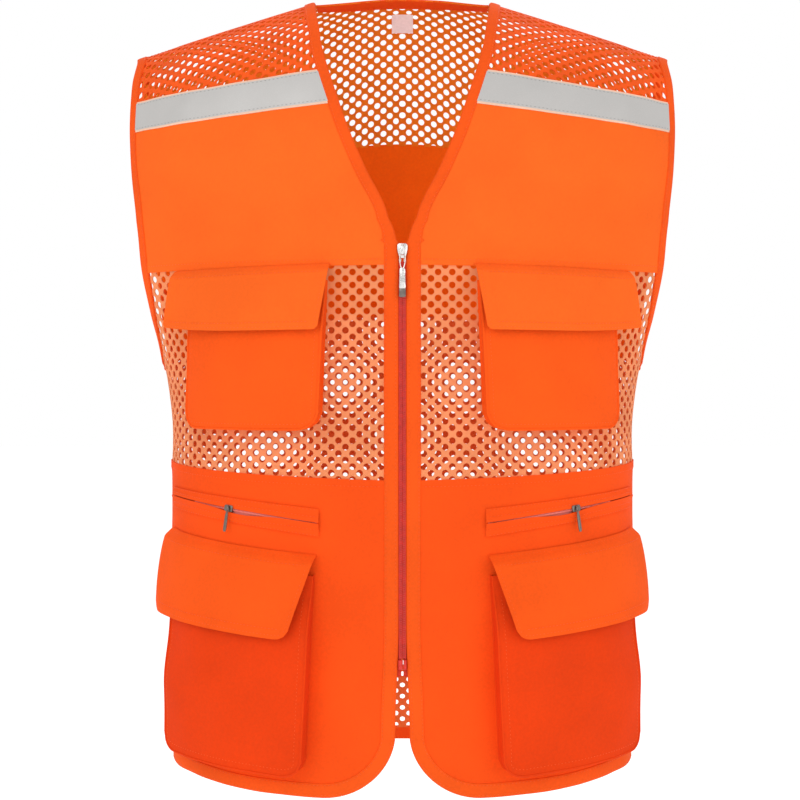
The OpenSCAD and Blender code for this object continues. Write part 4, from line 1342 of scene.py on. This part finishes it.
def slant_chain():
    """Two rows of small teeth along the arc."""
    pitch = math.degrees(1.3 / SLANT_R)
    degrees = np.arange(SLANT_FROM, SLANT_TO, pitch)
    along = on_arc(SLANT_R, degrees + 0.1) - on_arc(SLANT_R, degrees - 0.1)
    along /= np.linalg.norm(along, axis=1, keepdims=True)
    up = on_arc(SLANT_R + 1, degrees) - on_arc(SLANT_R, degrees)
    across = np.cross(along, up)
    chunks = []
    for sign in (1, -1):
        centres = on_arc(SLANT_R - 0.6, degrees + (sign > 0) * pitch / 2, sign * 0.95)
        chunks.append(teeth(centres, along, across, up, (2.1, 1.0, 1.0)))
    return chunks


def slant_tangent():
    """The chain's unit direction where the slider rests."""
    step = on_arc(SLANT_R, SLANT_REST + 0.1) - on_arc(SLANT_R, SLANT_REST)
    return step / np.linalg.norm(step)


PLATE_SECTION = (
    (0, -1), (0.25, -1.0), (0.75, -1.0), (1, -0.85), (1, 0.85), (0.75, 1.0), (0.25, 1.0), (0, 1)
)
TAB_SECTION = (
    (-1, 0.35), (-0.8, 0.5), (0.8, 0.5), (1, 0.35), (1, -0.35), (0.8, -0.5), (-0.8, -0.5), (-1, -0.35)
)


def slant_slider():
    """Two plates, the neck between them and the bow that holds the pull."""
    half = math.degrees(4 / SLANT_R)
    arc = np.linspace(SLANT_REST - half, SLANT_REST + half, 14)
    width = 2.7 * np.sqrt(np.clip(1 - ((arc - SLANT_REST) / half / 1.12) ** 6, 0.1, 1))
    chunks = []
    for radius, thick in ((SLANT_R + 1.1, 0.9), (SLANT_R - 1.9, 0.8)):
        rings = [on_arc(radius + thick * r, arc, width * z) for r, z in PLATE_SECTION]
        chunks.append(loft(np.stack(rings, axis=1)))
    neck = [on_arc(SLANT_R + r, SLANT_REST + d, z) for r in (-1.5, 1.5) for d, z in NECK_CORNERS]
    chunks.append(loft(np.array(neck).reshape(2, 4, 3)))
    bow = np.linspace(0, math.pi, 16)
    path = on_arc(SLANT_R + 1.8 + 2.0 * np.sin(bow) ** 0.7, SLANT_REST, 2.2 * np.cos(bow))
    side = np.broadcast_to(slant_tangent(), path.shape)
    chunks.append(cord_along(path, np.cross(side, frames_along(path)), 1.9, 0.6))
    return chunks


def slant_pull():
    """The eye round the bow and the tab that hangs from it."""
    tangent = slant_tangent()
    bail = on_arc(SLANT_R + 3.2, SLANT_REST)
    down = slant_space((0, 0, -1.0)) - slant_space((0, 0, 0.0))
    out = np.cross(tangent, down)
    turn = np.linspace(0, 2 * math.pi, 24)[:, None]
    eye = bail + 1.5 * np.sin(turn) * tangent + (1.4 - 2.0 * np.cos(turn)) * down
    reach = np.linspace(3.0, 20.0, 12)
    half_w = np.interp(reach, [3, 6, 18, 20], [0.6, 1.3, 1.5, 0.9])[:, None]
    rings = [bail + reach[:, None] * down + half_w * w * tangent + t * out for w, t in TAB_SECTION]
    return [cord_along(eye, np.broadcast_to(out, eye.shape), 0.7, 0.7), loft(np.stack(rings, axis=1))]


def build_slant_pockets():
    look = [DEEP_ORANGE, THREAD, PINK_TAPE, RED_TAPE_AND_SHADE]
    pair("slant_welts", slant_welts(), look, on_front, "pocket", "slant_pocket_welt")
    pair("slant_chain", slant_chain(), [PINK_TAPE], on_front, "zip_red", "slant_zip_coil", sharp=30)
    bag = Patch(FRONT, flat(-438), flat(-560), flat(82.0), flat(186.0), flat(-2.4))
    lining, size = [cloth(bag, 40, 40, 1.2)], cut_size(bag)
    pair("slant_lining", lining, [ORANGE], on_front, "lining", "slant_pocket_bag")
    slider, pull = riding("{}_slant_slider"), riding("{}_slant_pull")
    pair("slant_slider_body", slant_slider(), [GUNMETAL], slider, "gunmetal", "slant_zip_slider")
    pair("slant_pull_tab", slant_pull(), [GUNMETAL], pull, "gunmetal", "slant_zip_pull")



# ---------------------------------------------------------------- studio
CAMERA_DISTANCE, CAMERA_HEIGHT = 1.8, -0.294
FLOOR_Z = -1.1
LAMP_AIM = (0, 0, -0.33)
FLOOR_EMISSION = 0.16
FRONT_GLOW = 0.78


def build_studio():
    world = bpy.data.worlds.new("studio")
    world.use_nodes = True
    nodes, links = world.node_tree.nodes, world.node_tree.links
    nodes["Background"].inputs["Color"].default_value = (1, 1, 1, 1)
    coords, parts = nodes.new("ShaderNodeTexCoord"), nodes.new("ShaderNodeSeparateXYZ")
    glow = nodes.new("ShaderNodeMapRange")
    for key, value in (("From Min", -0.3), ("From Max", 0.3), ("To Min", FRONT_GLOW), ("To Max", 1.0)):
        glow.inputs[key].default_value = value
    links.new(coords.outputs["Generated"], parts.inputs["Vector"])
    links.new(parts.outputs["Y"], glow.inputs["Value"])
    links.new(glow.outputs["Result"], nodes["Background"].inputs["Strength"])
    bpy.context.scene.world = world
    size = 12
    floor_mesh = bpy.data.meshes.new("floor")
    corners = [(x * size, y * size, FLOOR_Z) for x, y in ((-1, -1), (1, -1), (1, 1), (-1, 1))]
    floor_mesh.from_pydata(corners, [], [(0, 1, 2, 3)])
    floor = link("floor", floor_mesh)
    pale = Shader("pale_floor", (1.0, 1.0, 1.0), roughness=1.0, specular=0.0)
    pale.bsdf.inputs["Emission Color"].default_value = (1, 1, 1, 1)
    pale.bsdf.inputs["Emission Strength"].default_value = FLOOR_EMISSION
    floor_mesh.materials.append(pale.material)
    lamps = (
        ("key", (-1.3, -2.6, 1.2), 2.2, 26),
        ("fill", (1.8, -2.2, 0.2), 2.0, 12),
        ("rim", (0.4, 2.6, 1.6), 2.4, 20),
    )
    for name, place_at, width, power in lamps:
        light = bpy.data.lights.new(name, "AREA")
        light.size = width
        light.energy = power
        lamp = link(name, light)
        lamp.location = place_at
        x, y, z = np.array(LAMP_AIM) - place_at
        lamp.rotation_euler = (math.atan2(math.hypot(x, y), -z), 0, math.atan2(-x, y))


def build_camera():
    data = bpy.data.cameras.new("camera")
    data.lens = 90
    data.sensor_width = 36
    data.shift_x = -0.003
    data.shift_y = -0.0875
    camera = link("camera", data)
    camera.location = (0, -CAMERA_DISTANCE, CAMERA_HEIGHT)
    camera.rotation_euler = (math.pi / 2, 0, 0)
    bpy.context.scene.camera = camera
    bpy.context.scene.view_settings.view_transform = "Standard"


build_camera()
build_studio()
build_front_meshes()
build_back_meshes()
build_chest_panels()
build_lower_panels()
build_back_panels()
build_front_bindings()
build_neck_binding()
build_joining_seams()
build_front_tapes()
build_back_tape()
build_label()
build_front_zip()
build_slider()
build_pull()
build_pocket(CHEST, SHADED_CHEST_FACE, ORANGE)
build_pocket(CARGO, SHADED_CARGO_FACE, CARGO_LID)
build_slant_pockets()
